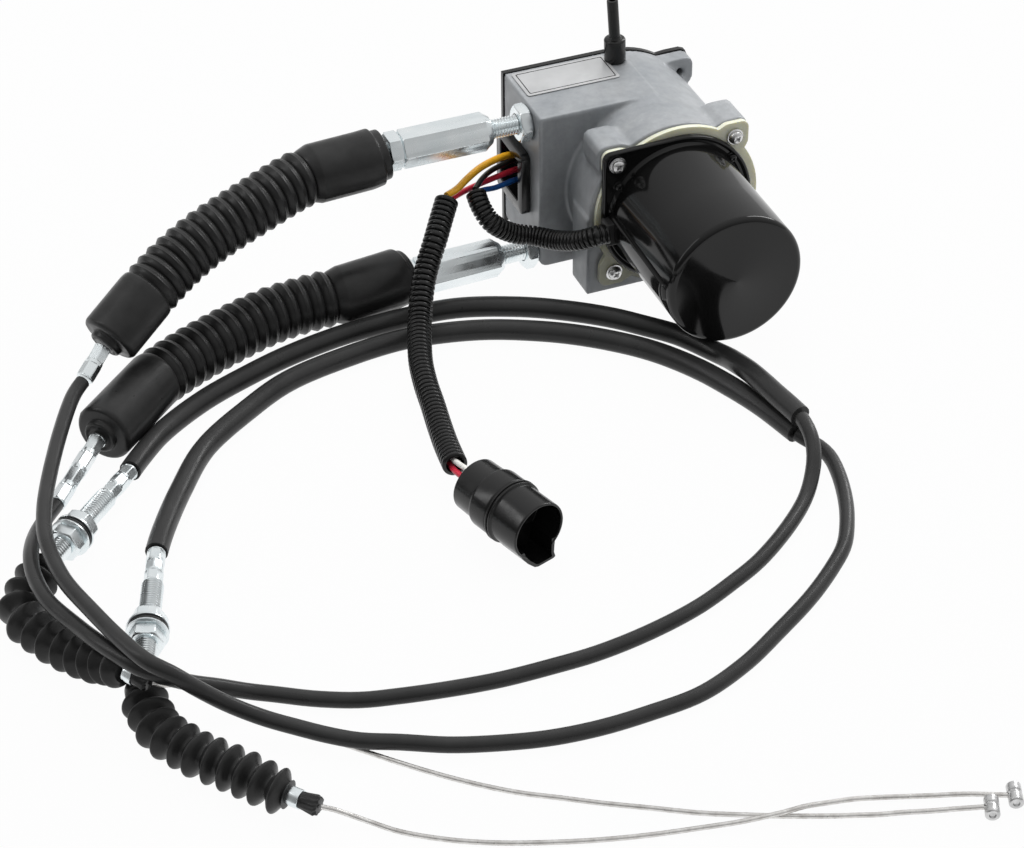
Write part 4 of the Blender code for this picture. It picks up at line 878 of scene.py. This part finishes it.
# Bellows: round lobes between a collar and the tip, the crests flattened where they rest on the floor
LOBE_R, LOBE_DEPTH = 0.0102, 0.0046
LOBE = ((0.0, 1.0), (0.07, 0.97), (0.17, 0.78), (0.28, 0.43), (0.37, 0.14), (0.43, 0.03), (0.48, 0.0),
        (0.53, 0.03), (0.6, 0.16), (0.71, 0.46), (0.84, 0.82), (0.94, 0.98))
LOBES = 11
for tag, last_r in (("a", 0.0098), ("b", 0.009)):
    track = Track(ROUTES[f"bellows_{tag}"])
    length = track.length
    collar = length * 0.045
    stations = rounded([(0.0, 0.0058), (0.0, 0.0068), (0.001, 0.0071), (collar * 0.8, 0.0071),
                        (collar, 0.0066)], 0.0004)
    span = (length - collar - 0.001) / LOBES
    for k in range(LOBES):
        top = LOBE_R - (LOBE_R - last_r) * max(0.0, k / (LOBES - 1) - 0.8) / 0.2
        for share, drop in LOBE:
            stations.append((collar + 0.0005 + span * (k + share), top - LOBE_DEPTH * drop))
    stations += [(length - 0.0003, last_r - 0.0036), (length, 0.0045)]
    skin = sweep(f"bellows_skin_{tag}", track, stations, 72, None, 60)
    keep_above(skin, 0.0002)
    piece(skin, "black_rubber", f"bellows_{tag}")


# Tips behind the bellows: a crimped ring, and rubber with an uneven cut end
def fluted(angle, distance):
    return 1 + 0.03 * math.cos(6 * angle)


for tag in "ab":
    track = Track(ROUTES[f"end_tip_{tag}"])
    band = track.length * 0.38
    crimp = rounded([(0.0, 0.0034), (0.0, 0.0041), (band, 0.0041), (band, 0.003)], 0.0003)
    piece(sweep(f"crimp_ring_{tag}", track, crimp, 64, fluted, 30), "bright_zinc")
    tip = rounded([(band, 0.0027), (band, 0.0036), (band + 0.0015, 0.0037), (track.length - 0.0012, 0.0042),
                   (track.length, 0.0034)], 0.0004)

    def ragged(angle, distance):
        share = max(0.0, (distance - band - 0.001) / (track.length - band - 0.001))
        slow, fast = math.sin(5 * angle + 900 * distance), math.sin(11 * angle - 1500 * distance)
        return 1 + share * (0.08 * slow + 0.07 * fast)

    piece(sweep(f"tip_skin_{tag}", track, tip, 48, ragged, 50), "black_rubber", f"end_tip_{tag}")

# Barrels across the wire ends, with a groove
BARREL_R, GROOVE_R = 0.0031, 0.0027
for tag, centre, along, length in (("a", (-0.0249, -0.4033, 0.0031), (-0.36, -0.933, 0.0), 0.0106),
                                   ("b", (-0.0369, -0.4061, 0.0031), (-0.414, -0.91, 0.0), 0.0098)):
    half = length / 2
    line = [(0, -half + 0.0008), (0.0012, -half + 0.0008), (0.0015, -half), (0.0026, -half),
            (BARREL_R, -half + 0.0005), (BARREL_R, -0.0011), (GROOVE_R, -0.0007), (GROOVE_R, 0.0005),
            (BARREL_R, 0.0009), (BARREL_R, half - 0.0005), (0.0026, half), (0.0015, half),
            (0.0012, half - 0.0008), (0, half - 0.0008)]
    barrel = turned(f"nipple_body_{tag}", rounded(line, 0.0001), centre, along, 48)
    piece(barrel, "steel", f"nipple_{tag}")

# Plug: two rear barrels, a double collar, an open front barrel with a key channel under it
PLUG_FROM, PLUG_TO = Vector((-0.15977, -0.15327, 0.0204)), Vector((-0.1457, -0.196, 0.0204))
plug_side, plug_up, plug_along = frame_of(PLUG_TO - PLUG_FROM)
plug_length = (PLUG_TO - PLUG_FROM).length
rear = [(0, 0.0), (0.0108, 0.0), (0.0127, 0.0012), (0.013, 0.0128), (0.0142, 0.0136), (0.0145, 0.0146),
        (0.0145, 0.024), (0.014, 0.0248), (0.0139, 0.0252), (0.0152, 0.0254), (0.0152, 0.0262),
        (0.0143, 0.0264), (0.0143, 0.027), (0.0151, 0.0272), (0.0151, 0.028), (0.0139, 0.0284)]
front = [(0.0139, plug_length - 0.0006), (0.0136, plug_length), (0.0129, plug_length),
         (0.0126, plug_length - 0.0006), (0.0124, plug_length - 0.0155), (0, plug_length - 0.0155)]
plug_body = turned("plug_body", rounded(rear + front, 0.0004), PLUG_FROM, plug_along, 120)
KEY = ((-0.0095, -0.0085), (-0.009, -0.013), (-0.0088, -0.0165), (-0.0096, -0.0192), (-0.0085, -0.0198),
       (0.0002, -0.02), (0.0024, -0.0192), (0.0062, -0.0154), (0.0092, -0.0112), (0.0108, -0.008))
KEY_ROOM = ((-0.0076, -0.007), (-0.0074, -0.013), (-0.0073, -0.0165), (-0.0078, -0.0182),
            (-0.007, -0.0186), (0.0000, -0.0187), (0.0014, -0.0181), (0.0048, -0.0145),
            (0.0074, -0.0108), (0.0088, -0.007))
for name, outline, first, last, operation in (
    ("key_outer", KEY, 0.0276, plug_length - 0.0004, "UNION"),
    ("key_room", KEY_ROOM, 0.03, plug_length + 0.002, "DIFFERENCE"),
):
    rings = []
    for distance in (first, last):
        rings.append([PLUG_FROM + plug_along * distance + plug_side * side + plug_up * up
                      for side, up in outline])
    carve(plug_body, lofted(name, rings), operation)
piece(soften(crisp(plug_body, 32), 0.0003, 40), "black_plastic", "plug")


# Cords
def plain_cord(name, node, diameter, slot, step, **facts):
    """A round cord as a curve."""
    spots = smooth(ROUTES[node], step)
    data = bpy.data.curves.new(name, "CURVE")
    data.dimensions = "3D"
    data.bevel_depth = diameter / 2
    data.bevel_resolution = 6
    data.use_fill_caps = True
    line = data.splines.new("POLY")
    line.points.add(len(spots) - 1)
    for point, spot in zip(line.points, spots):
        point.co = (*spot, 1.0)
    line.use_smooth = True
    obj = piece(placed(name, data), slot, node)


def skin_cord(name, node, diameter, slot, stations, sides, shape, sharp, **facts):
    """A cord whose surface is modelled: ridges or strands."""
    track = Track(ROUTES[node])
    obj = sweep(name, track, stations(track.length), sides, shape, sharp, closed=shape is None)
    piece(obj, slot, node)
    [tuple(spot) for spot in smooth(ROUTES[node], 0.004)]


RIDGE = ((0.0, 0.76), (0.1, 0.77), (0.19, 0.94), (0.28, 0.985), (0.54, 1.0), (0.8, 0.985),
         (0.9, 0.94), (0.97, 0.78))


def corrugated(diameter, pitch):
    """Ridges along the outside and back along the bore."""
    def stations(length):
        count = round(length / pitch)
        found = []
        for k in range(count):
            for share, reach in RIDGE:
                found.append((length * (k + share) / count, diameter / 2 * reach))
        found.append((length, diameter / 2 * 0.76))
        return found + [(length * (1 - k / 60), diameter / 2 * 0.7) for k in range(61)]
    return stations


def strands(length):
    count = round(length / 0.0005)
    return [(length * k / count, WIRE_D / 2) for k in range(count + 1)]


STRANDS, LAY = 7, 0.009


def laid(angle, distance):
    """The outer strands, wound round the wire once in this length."""
    return 0.84 + 0.16 * abs(math.cos(STRANDS / 2 * (angle + 2 * math.pi * distance / LAY)))


END_PARTS = ("end_ferrule", "end_thread", "end_nut_front", "washer_front", "rubber_ring", "washer_back",
             "end_nut_back")
for tag in "ab":
    plain_cord(f"conduit_skin_{tag}", f"conduit_{tag}", CONDUIT_D, "cable_jacket", 0.004, far_end="object",
               stiffness="medium")
for tag in "ab":
    on_it = [bpy.data.objects[f"{part}_{tag}"] for part in END_PARTS]
    plain_cord(f"sleeve_skin_{tag}", f"sleeve_{tag}", SLEEVE_D, "cable_jacket", 0.004, far_end="fitting",
               stiffness="medium", with_pieces=on_it)
for tag in "ab":
    skin_cord(f"wire_skin_{tag}", f"wire_{tag}", WIRE_D, "wire_steel", strands, 21, laid, 80,
              far_end="fitting", stiffness="stiff", with_pieces=[bpy.data.objects[f"nipple_body_{tag}"]])
for number, diameter, pitch, far_end in ((1, TUBE1_D, 0.0029, "bare"), (2, TUBE2_D, 0.0022, "object")):
    skin_cord(f"tube_skin_{number}", f"harness_tube_{number}", diameter, "black_plastic",
              corrugated(diameter, pitch), 48, None, 50, far_end=far_end, stiffness="medium")
for colour, width in (("yellow", 0.0036), ("black", 0.0028), ("red", 0.003), ("blue", 0.0028)):
    plain_cord(f"wire_{colour}_skin", f"wire_{colour}", width, f"{colour}_wire", 0.001, far_end="object",
               stiffness="limp")
for colour, width in (("red", 0.0029), ("white", 0.0026)):
    plain_cord(f"plug_wire_{colour}_skin", f"plug_wire_{colour}", width, f"{colour}_wire", 0.001,
               far_end="plug", stiffness="limp", with_pieces=[plug_body])

# Floor: matte for the shadows, bright where the camera or a reflection sees it
FLOOR_HALF = 6
corners = [(x * FLOOR_HALF, y * FLOOR_HALF, 0) for x, y in ((-1, -1), (1, -1), (1, 1), (-1, 1))]
floor_mesh = bpy.data.meshes.new("floor")
floor_mesh.from_pydata(corners, [], [(0, 1, 2, 3)])
floor = placed("floor", floor_mesh)
floor_look = bpy.data.materials.new("floor_look")
floor_look.use_nodes = True
tree = floor_look.node_tree
tree.nodes.remove(tree.nodes["Principled BSDF"])
matte = add_node(tree, "BsdfDiffuse", Color=(0.42, 0.42, 0.43, 1))
white = add_node(tree, "Emission", Strength=1.0)
path = add_node(tree, "LightPath")
seen = add_node(tree, "Math", "MAXIMUM")
share = add_node(tree, "Math", "MULTIPLY")
share.inputs[1].default_value = 0.97
mix = add_node(tree, "MixShader")
link = tree.links.new
link(path.outputs["Is Camera Ray"], seen.inputs[0])
link(path.outputs["Is Glossy Ray"], seen.inputs[1])
link(seen.outputs[0], share.inputs[0])
link(share.outputs[0], mix.inputs["Fac"])
link(matte.outputs[0], mix.inputs[1])
link(white.outputs[0], mix.inputs[2])
link(mix.outputs[0], tree.nodes["Material Output"].inputs["Surface"])
floor_mesh.materials.append(floor_look)

# Surroundings: brighter from above and behind, darker from the left, and white where the camera sees them
world = bpy.data.worlds.new("studio")
bpy.context.scene.world = world
world.use_nodes = True
sky = world.node_tree
back = sky.nodes["Background"]
back.inputs["Color"].default_value = (1, 1, 1, 1)
direction = add_node(sky, "TexCoord")
toward = add_node(sky, "VectorMath", "DOT_PRODUCT")
toward.inputs[1].default_value = (0.42, 0.3, 0.86)
level = add_node(sky, "MapRange", From_Min=-0.4, From_Max=0.9, To_Min=0.12, To_Max=0.86)
ray = add_node(sky, "LightPath")
seen = add_node(sky, "Math", "MAXIMUM")
link = sky.links.new
link(direction.outputs["Generated"], toward.inputs[0])
link(toward.outputs["Value"], level.inputs["Value"])
link(ray.outputs["Is Camera Ray"], seen.inputs[0])
link(level.outputs["Result"], seen.inputs[1])
link(seen.outputs[0], back.inputs["Strength"])


def softbox(name, place, aim, width, height, power, mirrored=False):
    """A lamp that lights the finishes but isn't mirrored in them, or the other way round."""
    data = bpy.data.lights.new(name, "AREA")
    data.shape = "RECTANGLE"
    data.size, data.size_y = width, height
    data.energy = power
    lamp = placed(name, data)
    lamp.location = place
    lamp.visible_glossy = mirrored
    lamp.visible_diffuse = not mirrored
    lamp.rotation_euler = (Vector(aim) - Vector(place)).to_track_quat("-Z", "Y").to_euler()


softbox("key", (-0.2, 0.3, 1.5), (-0.1, -0.1, 0), 0.9, 0.9, 11.5)
softbox("top", (0.4, 0.7, 1.2), (0, 0, 0.05), 0.8, 0.8, 8.5)
softbox("side", (1.3, -0.2, 0.6), (0, 0, 0.05), 0.5, 0.9, 4)
softbox("left", (-1.3, 0.3, 0.9), (-0.1, -0.1, 0.03), 0.2, 1.2, 3, mirrored=True)
softbox("edge", (1.0, 0.5, 0.7), (0, -0.05, 0.05), 0.2, 0.9, 4, mirrored=True)

# Camera
camera_data = bpy.data.cameras.new("camera")
camera_data.sensor_width = 36.0
camera_data.lens = 109.0
camera_data.clip_end = 30.0
camera = placed("camera", camera_data)
turn = Matrix(((0.9276, -0.3736, -0.0062), (0.2303, 0.5588, 0.7967), (-0.2942, -0.7404, 0.6044))).transposed()
camera.matrix_world = Matrix.Translation((-0.5432, -1.1651, 0.8738)) @ turn.to_4x4()
bpy.context.scene.camera = camera
bpy.context.scene.view_settings.view_transform = "Standard"

bpy.context.view_layer.update()
